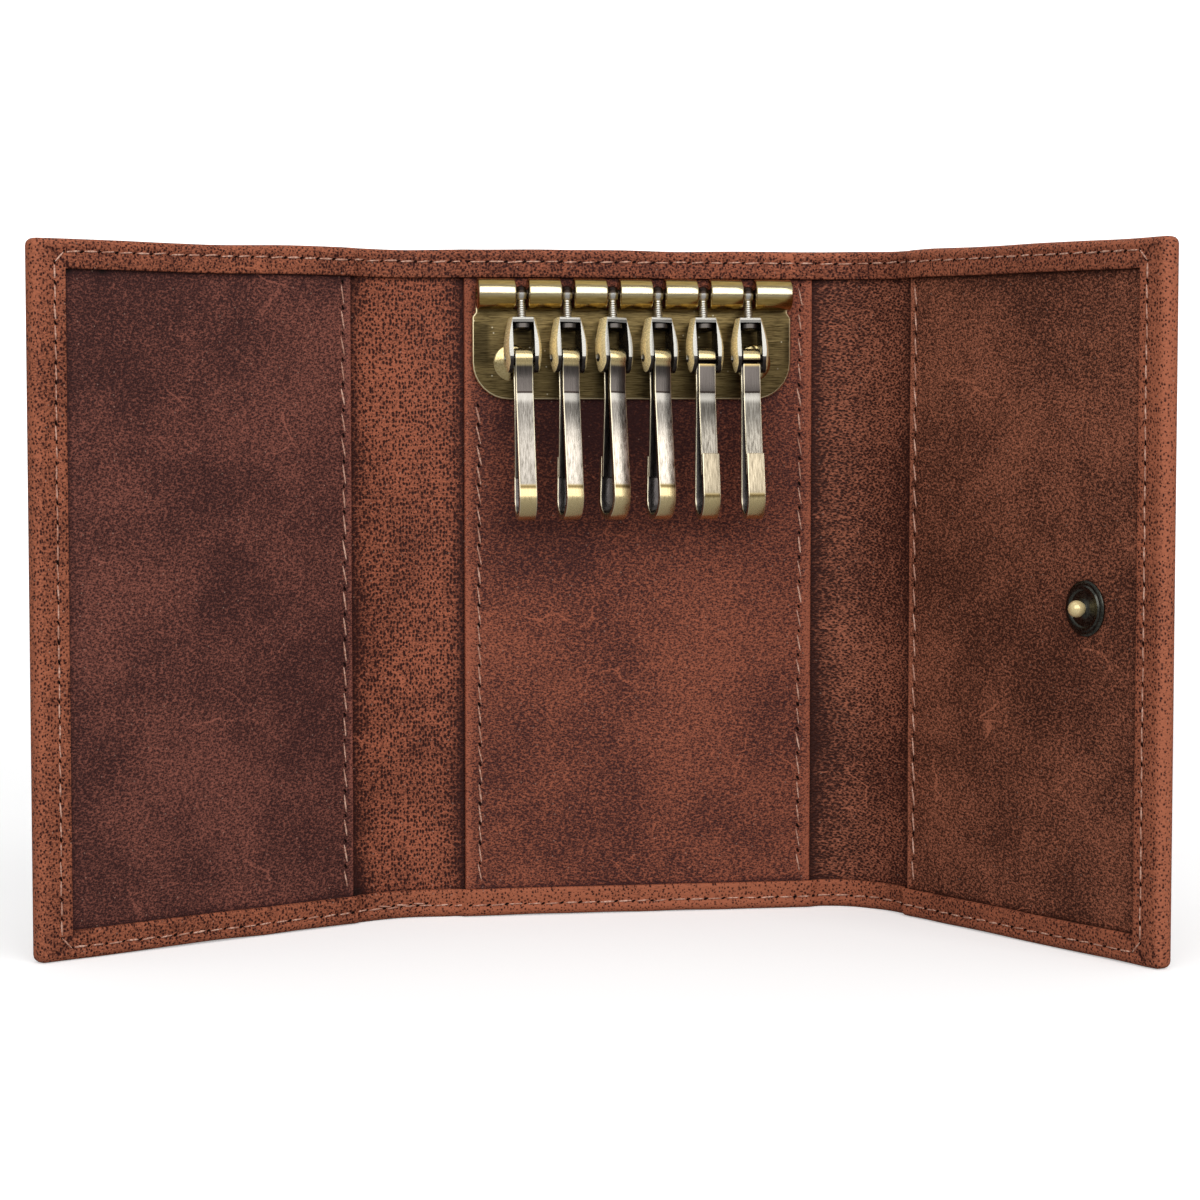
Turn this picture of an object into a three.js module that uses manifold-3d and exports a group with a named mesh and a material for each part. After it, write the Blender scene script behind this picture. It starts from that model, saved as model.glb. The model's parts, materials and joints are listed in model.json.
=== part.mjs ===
// Folding leather key case, standing open: three panels joined by two gussets, with a row of
// swivelling key hooks on a metal plate and a snap that holds the right panel over the left one.
// Millimetres, +Z up. The hook side faces -Y. The origin is at the foot of the middle panel,
// in the plane of the lining's inner face.

import * as THREE from 'three';
import Module from 'manifold-3d';

const wasm = await Module();
wasm.setup();

// Leather
const CASE_HEIGHT = 108;
const MIDDLE_WIDTH = 57.3;
const LEFT_PANEL_WIDTH = 57.3;
const RIGHT_PANEL_WIDTH = 59.6;
const LEFT_GUSSET_WIDTH = 14.3;
const LEFT_REVEAL = 5;
const COVER_THICK = 0.8;
const LINING_THICK = 0.6;
const PANEL_THICK = 0.8;
const HEM_WIDTH = 4.5;
const SIDE_HEM_WIDTH = 5.5;
const CORNER_RADIUS = 1.6;
const LAYER_GAP = 0.1;
const FOLD_GAP = 0.15;
const POCKET_SETBACK = 0.3;
const CLOSED_GAP = 0.35;

// Angles of the folds in the standing pose, in degrees
const LEFT_GUSSET_FOLD = 16;
const LEFT_PANEL_FOLD = 13;
const RIGHT_GUSSET_FOLD = 39;
const RIGHT_PANEL_FOLD = 27;
const CLOSED_STANDOFF = 3;

// Hook plate
const PLATE_WIDTH = 52.4;
const PLATE_THICK = 0.7;
const PLATE_DROP = 16.9;
const PLATE_CORNER = 6;
const PLATE_SHIFT = -1.3;
const BARREL_RADIUS = 2.5;
const PLATE_SHOULDER = 0.55;
const END_TAB = 7.1;
const BARREL_BELOW_HEM = 0.2;
const SLOT_WIDTH = 2.1;
const SLOT_DROP = 3.2;
const ROD_RADIUS = 0.7;
const BORE_GAP = 0.15;
const RIVET_INSET = 6.35;
const RIVET_DROP = 11;
const RIVET_RADIUS = 2.95;
const RIVET_RISE = 0.55;
const SHANK_RADIUS = 1.1;
const HOLE_GAP = 0.15;

// Hooks
const HOOK_TURN_ANGLES = [0, 7.5, 15, 11, 183, 180];
const STEM_ANGLE = 11.5;
const LOOP_ANGLE = 4.5;
const EYE_WALL = 0.5;
const EYE_WIDTH = 1.5;
const NECK_RADIUS = 0.55;
const NECK_GAP = 0.2;
const BRIDGE_DROP = 4.1;
const BRIDGE_THICK = 0.8;
const HEAD_THICK = 0.9;
const HEAD_GAP = 0.1;
const PIN_DROP = 10.5;
const PIN_RADIUS = 0.65;
const PIN_GAP = 0.05;
const EAR_END = 2.4;
const EAR_DEPTH = 1.9;
const BRIDGE_DEPTH = 1.45;
const CLEVIS_TOP_RADIUS = 2.2;
const CLEVIS_RADIUS = 2.95;
const SLOT_SIDE_GAP = 0.3;
const STRIP_WIDTH = 2.85;
const STRIP_THICK = 0.8;
const ROLL_GAP = 0.15;
const NECK_LENGTH = 5.4;
const NECK_SPREAD = 0.9;
const LOOP_LENGTH = 26;
const LOOP_SPREAD = 2.8;
const LOOP_BEND = 3.7;
const TIP_RISE = 10.4;
const GATE_THICK = 0.5;
const GATE_LAP = 3.4;
const GATE_SLOPE = 0.066;
const GATE_GAP = 0.12;
const GATE_ROOT_ANGLE = 24;

// Snap
const SNAP_HEIGHT = 52.6;
const STUD_REACH = 42.5;
const STUD_RADIUS = 4.25;
const BALL_RADIUS = 1.3;
const BALL_RISE = 2;
const CAP_RADIUS = 4.6;
const CAP_RISE = 1.1;
const POST_RADIUS = 0.8;
const SOCKET_RADIUS = 5;
const SOCKET_RISE = 2.2;
const SOCKET_GAP = 0.45;
const EYELET_FLANGE = 0.35;

const DEG = Math.PI / 180;

const coverBack = LINING_THICK + LAYER_GAP + COVER_THICK;
const panelFace = LAYER_GAP + PANEL_THICK;
const hemOverPanel = panelFace + LAYER_GAP;
const hemFace = hemOverPanel + COVER_THICK;
const innerLow = COVER_THICK + LAYER_GAP;
const innerHigh = CASE_HEIGHT - innerLow;
// The right gusset is wider, so that the right panel closes over the left one.
const rightGussetWidth = LEFT_GUSSET_WIDTH + coverBack + hemFace + CLOSED_GAP;
const leftHingeX = -(MIDDLE_WIDTH / 2 + LEFT_REVEAL);
const rightHingeX = MIDDLE_WIDTH / 2 + POCKET_SETBACK;
const barrelLength = PLATE_WIDTH - 2 * PLATE_SHOULDER;
const hookPitch = (barrelLength - 2 * END_TAB) / (HOOK_TURN_ANGLES.length - 1);
const rivetSpread = PLATE_WIDTH / 2 - RIVET_INSET;

const leatherCover = new THREE.MeshStandardMaterial({ color: 0x8a4a22, roughness: 0.7, metalness: 0 });
const leatherLining = new THREE.MeshStandardMaterial({ color: 0x8f5228, roughness: 0.72, metalness: 0 });
const leatherPanel = new THREE.MeshStandardMaterial({ color: 0x5a3222, roughness: 0.55, metalness: 0 });
const antiqueBrass = new THREE.MeshStandardMaterial({ color: 0x8a7440, roughness: 0.35, metalness: 1 });
const hookSteel = new THREE.MeshStandardMaterial({ color: 0x9a968c, roughness: 0.3, metalness: 1 });
const darkSteel = new THREE.MeshStandardMaterial({ color: 0x4a4842, roughness: 0.35, metalness: 1 });
const gunmetal = new THREE.MeshStandardMaterial({ color: 0x55564f, roughness: 0.3, metalness: 1 });

function solidFrom(geometry) {
  const flat = geometry.index ? geometry.toNonIndexed() : geometry;
  const position = flat.getAttribute('position');
  const known = new Map();
  const vertices = [];
  const triangles = [];
  let volume = 0;
  for (let i = 0; i < position.count; i += 3) {
    const corner = [];
    const points = [];
    for (let k = 0; k < 3; k += 1) {
      const point = new THREE.Vector3().fromBufferAttribute(position, i + k);
      const key = point.toArray().map((value) => Math.round(value * 1e4)).join(' ');
      if (!known.has(key)) {
        known.set(key, vertices.length / 3);
        vertices.push(point.x, point.y, point.z);
      }
      corner.push(known.get(key));
      points.push(point);
    }
    if (new Set(corner).size === 3) {
      triangles.push(corner);
      volume += points[0].dot(points[1].clone().cross(points[2]));
    }
  }
  const outward = volume < 0 ? triangles.map((corner) => corner.slice().reverse()) : triangles;
  return new wasm.Manifold(new wasm.Mesh({
    numProp: 3,
    vertProperties: new Float32Array(vertices),
    triVerts: new Uint32Array(outward.flat()),
  }));
}

function geometryFrom(solid) {
  const mesh = solid.getMesh();
  const geometry = new THREE.BufferGeometry();
  const vertices = new Float32Array(mesh.numVert * 3);
  for (let i = 0; i < mesh.numVert; i += 1) {
    for (let k = 0; k < 3; k += 1) {
      vertices[3 * i + k] = mesh.vertProperties[mesh.numProp * i + k];
    }
  }
  geometry.setAttribute('position', new THREE.BufferAttribute(vertices, 3));
  geometry.setIndex(new THREE.BufferAttribute(new Uint32Array(mesh.triVerts), 1));
  geometry.computeVertexNormals();
  return geometry;
}

function block(x0, x1, y0, y1, z0, z1) {
  const box = new THREE.BoxGeometry(Math.abs(x1 - x0), Math.abs(y1 - y0), Math.abs(z1 - z0));
  box.translate((x0 + x1) / 2, (y0 + y1) / 2, (z0 + z1) / 2);
  return solidFrom(box);
}

function shapeOf(points) {
  return new THREE.Shape(points.map(([a, b]) => new THREE.Vector2(a, b)));
}

// A section drawn in (y, z), carried along X.
function alongX(shape, x0, x1) {
  const low = Math.min(x0, x1);
  const high = Math.max(x0, x1);
  const body = new THREE.ExtrudeGeometry(shape, { depth: high - low, bevelEnabled: false, curveSegments: 4 });
  const turn = new THREE.Matrix4();
  turn.makeBasis(new THREE.Vector3(0, 1, 0), new THREE.Vector3(0, 0, 1), new THREE.Vector3(1, 0, 0));
  body.applyMatrix4(turn);
  body.translate(low, 0, 0);
  return solidFrom(body);
}

// An outline drawn in (x, z), carried along Y.
function alongY(shape, y0, y1) {
  const body = new THREE.ExtrudeGeometry(shape, { depth: y1 - y0, bevelEnabled: false, curveSegments: 6 });
  body.rotateX(Math.PI / 2);
  body.translate(0, y1, 0);
  return solidFrom(body);
}

// An outline drawn in (x, y), carried along Z.
function alongZ(shape, z0, z1) {
  const body = new THREE.ExtrudeGeometry(shape, { depth: z1 - z0, bevelEnabled: false, curveSegments: 6 });
  body.translate(0, 0, z0);
  return solidFrom(body);
}

// A profile of (radius, height) pairs turned about the axis along +Z or +Y.
function turned(profile, segments, axis) {
  const body = new THREE.LatheGeometry(profile.map(([r, h]) => new THREE.Vector2(r, h)), segments);
  if (axis === 'z') {
    body.rotateX(Math.PI / 2);
  }
  return solidFrom(body);
}

function rod(radius, from, to, segments, axis) {
  const body = new THREE.CylinderGeometry(radius, radius, Math.abs(to - from), segments);
  body.translate(0, (from + to) / 2, 0);
  if (axis === 'x') {
    body.rotateZ(-Math.PI / 2);
  }
  if (axis === 'z') {
    body.rotateX(Math.PI / 2);
  }
  return solidFrom(body);
}

function moved(solid, x, y, z) {
  return solid.translate([x, y, z]);
}

function piece(parent, name, material, solid) {
  const mesh = new THREE.Mesh(geometryFrom(solid), material);
  mesh.name = name;
  parent.add(mesh);
  return mesh;
}

const keyCase = new THREE.Group();
const leftGusset = new THREE.Group();
const leftPanel = new THREE.Group();
const rightGusset = new THREE.Group();
const rightPanel = new THREE.Group();
leftGusset.name = 'left_gusset';
leftPanel.name = 'left_panel';
rightGusset.name = 'right_gusset';
rightPanel.name = 'right_panel';
leftGusset.position.x = leftHingeX;
leftGusset.rotation.z = LEFT_GUSSET_FOLD * DEG;
leftPanel.position.x = -LEFT_GUSSET_WIDTH;
leftPanel.rotation.z = LEFT_PANEL_FOLD * DEG;
rightGusset.position.x = rightHingeX;
rightGusset.rotation.z = -RIGHT_GUSSET_FOLD * DEG;
rightPanel.position.x = rightGussetWidth;
rightPanel.rotation.z = -RIGHT_PANEL_FOLD * DEG;
keyCase.add(leftGusset, rightGusset);
leftGusset.add(leftPanel);
rightGusset.add(rightPanel);

// Cover: one sheet, turned in over the top, bottom and outer edges as a hem. It is cut at the folds.

// Section of the cover with its two hems, over whatever lies under them to the given depth.
function hemSection(under) {
  const front = -(under + COVER_THICK);
  const round = COVER_THICK * 0.9;
  const shape = new THREE.Shape();
  shape.moveTo(front, HEM_WIDTH);
  shape.lineTo(front, round);
  shape.quadraticCurveTo(front, 0, front + round, 0);
  shape.lineTo(coverBack - round, 0);
  shape.quadraticCurveTo(coverBack, 0, coverBack, round);
  shape.lineTo(coverBack, CASE_HEIGHT - round);
  shape.quadraticCurveTo(coverBack, CASE_HEIGHT, coverBack - round, CASE_HEIGHT);
  shape.lineTo(front + round, CASE_HEIGHT);
  shape.quadraticCurveTo(front, CASE_HEIGHT, front, CASE_HEIGHT - round);
  shape.lineTo(front, CASE_HEIGHT - HEM_WIDTH);
  shape.lineTo(-under, CASE_HEIGHT - HEM_WIDTH);
  shape.lineTo(-under, CASE_HEIGHT - COVER_THICK);
  shape.lineTo(LINING_THICK + LAYER_GAP, CASE_HEIGHT - COVER_THICK);
  shape.lineTo(LINING_THICK + LAYER_GAP, COVER_THICK);
  shape.lineTo(-under, COVER_THICK);
  shape.lineTo(-under, HEM_WIDTH);
  return shape;
}

// What has to be clear on the inside of a fold line at x, so that both sides close to a right angle.
// side is +1 where the leather lies towards +X of the fold.
function foldClearance(x, side, z0, z1) {
  const reach = 4 * hemFace;
  const outline = shapeOf([
    [x - side * reach, coverBack + 1],
    [x + side * FOLD_GAP, coverBack + 1],
    [x + side * FOLD_GAP, 0],
    [x + side * (FOLD_GAP + reach), -reach],
    [x - side * reach, -reach],
  ]);
  return alongZ(outline, z0, z1);
}

function wholeFold(x, side) {
  return foldClearance(x, side, -1, CASE_HEIGHT + 1);
}

// Near a hem the pocket's corners are trimmed back under it.
function hemFold(solid, x, side) {
  return solid
    .subtract(foldClearance(x, side, -1, HEM_WIDTH + LAYER_GAP))
    .subtract(foldClearance(x, side, CASE_HEIGHT - HEM_WIDTH - LAYER_GAP, CASE_HEIGHT + 1));
}

const middleCover = alongX(hemSection(LAYER_GAP), leftHingeX - 1, -MIDDLE_WIDTH / 2)
  .add(alongX(hemSection(hemOverPanel), -MIDDLE_WIDTH / 2 - LAYER_GAP, rightHingeX + 1))
  .subtract(wholeFold(leftHingeX, 1))
  .subtract(wholeFold(rightHingeX, -1));
piece(keyCase, 'cover_middle', leatherCover, middleCover);

function gussetCover(width, side) {
  return alongX(hemSection(LAYER_GAP), -side, side * (width + 1))
    .subtract(wholeFold(0, side))
    .subtract(wholeFold(side * width, -side));
}

piece(leftGusset, 'cover_left_gusset', leatherCover, gussetCover(LEFT_GUSSET_WIDTH, -1));
piece(rightGusset, 'cover_right_gusset', leatherCover, gussetCover(rightGussetWidth, 1));

function panelOutline(width, side) {
  const outline = new THREE.Shape();
  const inner = -side;
  const outer = side * width;
  const nearOuter = side * (width - CORNER_RADIUS);
  outline.moveTo(inner, 0);
  outline.lineTo(nearOuter, 0);
  outline.quadraticCurveTo(outer, 0, outer, CORNER_RADIUS);
  outline.lineTo(outer, CASE_HEIGHT - CORNER_RADIUS);
  outline.quadraticCurveTo(outer, CASE_HEIGHT, nearOuter, CASE_HEIGHT);
  outline.lineTo(inner, CASE_HEIGHT);
  return outline;
}

function panelCover(width, side) {
  const outer = alongY(panelOutline(width, side), -hemFace, coverBack);
  const filling = block(-side * 2, side * (width - COVER_THICK), -hemOverPanel, LINING_THICK + LAYER_GAP,
    COVER_THICK, CASE_HEIGHT - COVER_THICK);
  const window = block(-side * 2, side * (width - SIDE_HEM_WIDTH), -hemFace - 1, 0, HEM_WIDTH,
    CASE_HEIGHT - HEM_WIDTH);
  return outer.subtract(filling).subtract(window).subtract(wholeFold(0, side));
}

// Snap positions. In the closed case the stud stands over the left panel's outer face.
const standoff = CLOSED_STANDOFF * DEG;
const socketReach = rightHingeX - leftHingeX
  - STUD_REACH * Math.cos(standoff) - (panelFace + BALL_RISE) * Math.sin(standoff);
const postHole = moved(rod(POST_RADIUS + HOLE_GAP, -5, 5, 20, 'y'), STUD_REACH, 0, SNAP_HEIGHT);
const eyeletRadius = BALL_RADIUS + SOCKET_GAP + 0.9;
const eyeletHole = moved(rod(eyeletRadius + HOLE_GAP, -0.5, 5, 24, 'y'), -socketReach, 0, SNAP_HEIGHT);
const flangeRadius = eyeletRadius + 1.4;
const flangeRecess = moved(rod(flangeRadius + HOLE_GAP, -0.5, EYELET_FLANGE + LAYER_GAP, 24, 'y'),
  -socketReach, 0, SNAP_HEIGHT);

piece(leftPanel, 'cover_left_panel', leatherCover, panelCover(LEFT_PANEL_WIDTH, -1).subtract(eyeletHole));
piece(rightPanel, 'cover_right_panel', leatherCover, panelCover(RIGHT_PANEL_WIDTH, 1).subtract(postHole));

// Lining

const rowX = PLATE_SHIFT;
const axisZ = CASE_HEIGHT - HEM_WIDTH - BARREL_BELOW_HEM - BARREL_RADIUS;
const rivetZ = axisZ - RIVET_DROP;
const burrRadius = RIVET_RADIUS - 0.3;
const burrThick = LINING_THICK - 2 * LAYER_GAP;

function atRivets(make) {
  return [-1, 1].map((side) => moved(make(), rowX + side * rivetSpread, 0, rivetZ));
}

let middleLining = block(leftHingeX + FOLD_GAP, rightHingeX - FOLD_GAP, 0, LINING_THICK, innerLow, innerHigh);
for (const recess of atRivets(() => rod(burrRadius + HOLE_GAP, -1, burrThick + LAYER_GAP, 24, 'y'))) {
  middleLining = middleLining.subtract(recess);
}
piece(keyCase, 'lining_middle', leatherLining, middleLining);

function gussetLining(width, side) {
  return block(side * FOLD_GAP, side * (width - FOLD_GAP), 0, LINING_THICK, innerLow, innerHigh);
}

piece(leftGusset, 'lining_left_gusset', leatherLining, gussetLining(LEFT_GUSSET_WIDTH, -1));
piece(rightGusset, 'lining_right_gusset', leatherLining, gussetLining(rightGussetWidth, 1));

function panelSheet(width, side, start, y0, y1) {
  return block(side * start, side * (width - innerLow), y0, y1, innerLow, innerHigh);
}

const leftLining = panelSheet(LEFT_PANEL_WIDTH, -1, FOLD_GAP, 0, LINING_THICK)
  .subtract(eyeletHole)
  .subtract(flangeRecess);
const rightLining = panelSheet(RIGHT_PANEL_WIDTH, 1, FOLD_GAP, 0, LINING_THICK).subtract(postHole);
piece(leftPanel, 'lining_left_panel', leatherLining, leftLining);
piece(rightPanel, 'lining_right_panel', leatherLining, rightLining);

// Slip pockets and the panel that carries the hooks

const leftPocket = hemFold(panelSheet(LEFT_PANEL_WIDTH, -1, POCKET_SETBACK, -panelFace, -LAYER_GAP), 0, -1);
const rightPocket = hemFold(panelSheet(RIGHT_PANEL_WIDTH, 1, POCKET_SETBACK, -panelFace, -LAYER_GAP), 0, 1);
piece(leftPanel, 'left_pocket', leatherPanel, leftPocket);
piece(rightPanel, 'right_pocket', leatherPanel, rightPocket.subtract(postHole));

let hookPanel = hemFold(
  block(-MIDDLE_WIDTH / 2, MIDDLE_WIDTH / 2, -panelFace, -LAYER_GAP, innerLow, innerHigh), rightHingeX, -1);
for (const hole of atRivets(() => rod(SHANK_RADIUS + HOLE_GAP, -9, 1, 20, 'y'))) {
  hookPanel = hookPanel.subtract(hole);
}
piece(keyCase, 'hook_panel', leatherPanel, hookPanel);

// Hook plate with its rolled barrel, the rod through the barrel, and two rivets

const plateBack = -(panelFace + LAYER_GAP);
const plateFront = plateBack - PLATE_THICK;
const axisY = plateBack - BARREL_RADIUS;
const hookX = HOOK_TURN_ANGLES.map((turn, i) => rowX + (i - (HOOK_TURN_ANGLES.length - 1) / 2) * hookPitch);

function plateOutline() {
  const half = PLATE_WIDTH / 2;
  const low = -PLATE_DROP;
  const outline = new THREE.Shape();
  const shoulder = -(BARREL_RADIUS + 0.4);
  outline.moveTo(-half + PLATE_CORNER, low);
  outline.lineTo(half - PLATE_CORNER, low);
  outline.quadraticCurveTo(half, low, half, low + PLATE_CORNER);
  outline.lineTo(half, shoulder - 0.7);
  outline.lineTo(barrelLength / 2, shoulder);
  outline.lineTo(barrelLength / 2, 0);
  outline.lineTo(-barrelLength / 2, 0);
  outline.lineTo(-barrelLength / 2, shoulder);
  outline.lineTo(-half, shoulder - 0.7);
  outline.lineTo(-half, low + PLATE_CORNER);
  outline.quadraticCurveTo(-half, low, -half + PLATE_CORNER, low);
  return outline;
}

const barrel = moved(rod(BARREL_RADIUS, -barrelLength / 2, barrelLength / 2, 24, 'x'), rowX, axisY, axisZ);
let plate = moved(alongY(plateOutline(), plateFront, plateBack), rowX, 0, axisZ)
  .add(barrel)
  .subtract(moved(rod(ROD_RADIUS + BORE_GAP, -barrelLength, barrelLength, 14, 'x'), rowX, axisY, axisZ));
for (const x of hookX) {
  const half = SLOT_WIDTH / 2;
  const slot = block(x - half, x + half, axisY - 2 * BARREL_RADIUS, plateBack + 1,
    axisZ - SLOT_DROP, axisZ + 2 * BARREL_RADIUS);
  plate = plate.subtract(slot);
}
for (const hole of atRivets(() => rod(SHANK_RADIUS + HOLE_GAP, -9, 1, 20, 'y'))) {
  plate = plate.subtract(hole);
}
piece(keyCase, 'hook_plate', antiqueBrass, plate);
piece(keyCase, 'hook_rod', darkSteel,
  moved(rod(ROD_RADIUS, -barrelLength / 2 + 0.2, barrelLength / 2 - 0.2, 14, 'x'), rowX, axisY, axisZ));

const rivetFoot = plateFront - 0.05;
const rivetEnd = burrThick;

function rivet() {
  const rim = 0.2;
  const shank = [[0, rivetEnd], [SHANK_RADIUS, rivetEnd], [SHANK_RADIUS, rivetFoot]];
  const profile = [...shank, [RIVET_RADIUS, rivetFoot]];
  for (let i = 0; i <= 6; i += 1) {
    const angle = (i / 6) * 90 * DEG;
    profile.push([RIVET_RADIUS * Math.cos(angle), rivetFoot - rim - (RIVET_RISE - rim) * Math.sin(angle)]);
  }
  profile[profile.length - 1][0] = 0;
  return turned(profile, 24, 'y');
}

function burr() {
  const bore = SHANK_RADIUS + HOLE_GAP;
  const low = 0;
  const ring = [[bore, low], [burrRadius, low], [burrRadius, burrThick], [bore, burrThick], [bore, low]];
  return turned(ring, 24, 'y');
}

const rivets = atRivets(rivet);
const burrs = atRivets(burr);
['left', 'right'].forEach((side, i) => {
  piece(keyCase, `rivet_${side}`, antiqueBrass, rivets[i]);
  piece(keyCase, `rivet_burr_${side}`, darkSteel, burrs[i]);
});

// One swivelling key hook: a stem on the rod, a clevis that turns on the stem, a pin through the clevis,
// a strip bent into a loop on the pin, and a sprung gate that closes the loop.

const rollInner = PIN_RADIUS + ROLL_GAP;
const rollRadius = rollInner + STRIP_THICK / 2;
const eyeInner = ROD_RADIUS + BORE_GAP;
const eyeOuter = eyeInner + EYE_WALL;
const slotHalf = STRIP_WIDTH / 2 + SLOT_SIDE_GAP;
const headTop = -(BRIDGE_DROP + BRIDGE_THICK + HEAD_GAP);
const clevisEnd = -(PIN_DROP + EAR_END);

function stem() {
  const ring = new THREE.Shape();
  ring.absarc(0, 0, eyeOuter, 0, 2 * Math.PI);
  const bore = new THREE.Path();
  bore.absarc(0, 0, eyeInner, 0, 2 * Math.PI);
  ring.holes.push(bore);
  const eye = new THREE.ExtrudeGeometry(ring, { depth: EYE_WIDTH, bevelEnabled: false, curveSegments: 10 });
  eye.translate(0, 0, -EYE_WIDTH / 2);
  eye.rotateY(Math.PI / 2);
  const neck = rod(NECK_RADIUS, headTop - HEAD_THICK / 2, -(eyeInner + EYE_WALL / 2), 12, 'z');
  const headRadius = slotHalf - NECK_GAP;
  const head = rod(headRadius, headTop - HEAD_THICK, headTop, 16, 'z');
  return solidFrom(eye).add(neck).add(head);
}

function clevis() {
  const tall = PIN_DROP + EAR_END - BRIDGE_DROP;
  const profile = [
    [0, clevisEnd],
    [CLEVIS_RADIUS - 0.55, clevisEnd],
    [CLEVIS_RADIUS - 0.1, clevisEnd + tall * 0.22],
    [CLEVIS_RADIUS, clevisEnd + tall * 0.46],
    [CLEVIS_RADIUS - 0.25, clevisEnd + tall * 0.7],
    [CLEVIS_TOP_RADIUS + 0.2, clevisEnd + tall * 0.9],
    [CLEVIS_TOP_RADIUS, clevisEnd + tall],
    [0, clevisEnd + tall],
  ];
  const dome = turned(profile, 32, 'z');
  const tongue = new THREE.Shape();
  tongue.moveTo(-BRIDGE_DEPTH, -BRIDGE_DROP + 1);
  tongue.lineTo(-BRIDGE_DEPTH, -BRIDGE_DROP);
  tongue.lineTo(-EAR_DEPTH, -PIN_DROP + EAR_DEPTH);
  tongue.lineTo(-EAR_DEPTH, -PIN_DROP);
  tongue.quadraticCurveTo(-EAR_DEPTH, clevisEnd, 0, clevisEnd);
  tongue.quadraticCurveTo(EAR_DEPTH, clevisEnd, EAR_DEPTH, -PIN_DROP);
  tongue.lineTo(EAR_DEPTH, -PIN_DROP + EAR_DEPTH);
  tongue.lineTo(BRIDGE_DEPTH, -BRIDGE_DROP);
  tongue.lineTo(BRIDGE_DEPTH, -BRIDGE_DROP + 1);
  const strap = alongX(tongue, -2 * CLEVIS_RADIUS, 2 * CLEVIS_RADIUS);
  const slot = block(-slotHalf, slotHalf, -3 * EAR_DEPTH, 3 * EAR_DEPTH, clevisEnd - 1,
    -(BRIDGE_DROP + BRIDGE_THICK));
  const neckHole = rod(NECK_RADIUS + NECK_GAP, -PIN_DROP, 0, 16, 'z');
  const pinBore = rod(PIN_RADIUS + PIN_GAP, -2 * CLEVIS_RADIUS, 2 * CLEVIS_RADIUS, 16, 'x');
  const pinHole = moved(pinBore, 0, 0, -PIN_DROP);
  return dome.intersect(strap).subtract(slot).subtract(neckHole).subtract(pinHole);
}

function clevisPin() {
  const half = CLEVIS_RADIUS - 0.15;
  return moved(rod(PIN_RADIUS, -half, half, 16, 'x'), 0, 0, -PIN_DROP);
}

// A bent strip in the (y, z) plane: its middle line, thickened to both sides.
function strip(line, thick) {
  const left = [];
  const right = [];
  line.forEach((point, i) => {
    const before = line[Math.max(i - 1, 0)];
    const after = line[Math.min(i + 1, line.length - 1)];
    const inward = new THREE.Vector2(point[0] - before[0], point[1] - before[1]).normalize();
    const onward = new THREE.Vector2(after[0] - point[0], after[1] - point[1]).normalize();
    const along = inward.clone().add(onward).normalize();
    const half = thick / 2 / Math.max(along.dot(i ? inward : onward), 0.5);
    left.push([point[0] - along.y * half, point[1] + along.x * half]);
    right.push([point[0] + along.y * half, point[1] - along.x * half]);
  });
  return shapeOf(left.concat(right.reverse()));
}

const gateEnd = -(LOOP_LENGTH - TIP_RISE + GATE_LAP);
const gateKink = -(NECK_LENGTH + 0.8);
const tipOffset = STRIP_THICK / 2 + GATE_THICK / 2 + GATE_GAP;

function gateLineY(z) {
  return NECK_SPREAD + GATE_SLOPE * (gateKink - z);
}

// The loop's solid leg is on the -Y side of the pin, and its tip and gate on the +Y side.
function hookLine() {
  const line = [];
  for (let i = 0; i <= 14; i += 1) {
    const angle = (-15 + (i / 14) * 230) * DEG;
    line.push([rollRadius * Math.cos(angle), rollRadius * Math.sin(angle)]);
  }
  line.push([-NECK_SPREAD, -NECK_LENGTH]);
  const bendTop = -(LOOP_LENGTH - LOOP_BEND);
  const back = gateLineY(bendTop) + tipOffset;
  const centre = (back - LOOP_SPREAD) / 2;
  const half = (back + LOOP_SPREAD) / 2;
  for (let i = 0; i <= 8; i += 1) {
    const angle = (180 + (i / 8) * 180) * DEG;
    const drop = LOOP_BEND - STRIP_THICK / 2;
    line.push([centre + half * Math.cos(angle), bendTop + drop * Math.sin(angle)]);
  }
  const tip = -(LOOP_LENGTH - TIP_RISE);
  line.push([gateLineY(tip) + tipOffset, tip]);
  return line;
}

function gateLine() {
  const root = -GATE_ROOT_ANGLE * DEG;
  return [
    [rollRadius * Math.cos(root), rollRadius * Math.sin(root) - GATE_THICK],
    [NECK_SPREAD, gateKink],
    [gateLineY(gateEnd), gateEnd],
  ];
}

hookX.forEach((x, i) => {
  const number = i + 1;
  const swing = new THREE.Group();
  const swivel = new THREE.Group();
  const pivot = new THREE.Group();
  const turnedRound = Math.cos(HOOK_TURN_ANGLES[i] * DEG) < 0 ? -1 : 1;
  swing.name = `hook_${number}_swing`;
  swivel.name = `hook_${number}_swivel`;
  pivot.name = `hook_${number}_pivot`;
  swing.position.set(x, axisY, axisZ);
  swing.rotation.x = -STEM_ANGLE * DEG;
  swivel.rotation.z = HOOK_TURN_ANGLES[i] * DEG;
  pivot.position.z = -PIN_DROP;
  pivot.rotation.x = turnedRound * LOOP_ANGLE * DEG;
  keyCase.add(swing);
  swing.add(swivel);
  swivel.add(pivot);
  piece(swing, `stem_${number}`, darkSteel, stem());
  piece(swivel, `clevis_${number}`, antiqueBrass, clevis());
  piece(swivel, `clevis_pin_${number}`, darkSteel, clevisPin());
  const half = STRIP_WIDTH / 2;
  piece(pivot, `hook_${number}`, hookSteel, alongX(strip(hookLine(), STRIP_THICK), -half, half));
  piece(pivot, `gate_${number}`, hookSteel, alongX(strip(gateLine(), GATE_THICK), -half, half));
});

// Snap: a ball stud on the right panel's inner face with its cap outside, and on the left panel's outer
// face a socket with a spring ring, held by an eyelet from under the pocket.

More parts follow.
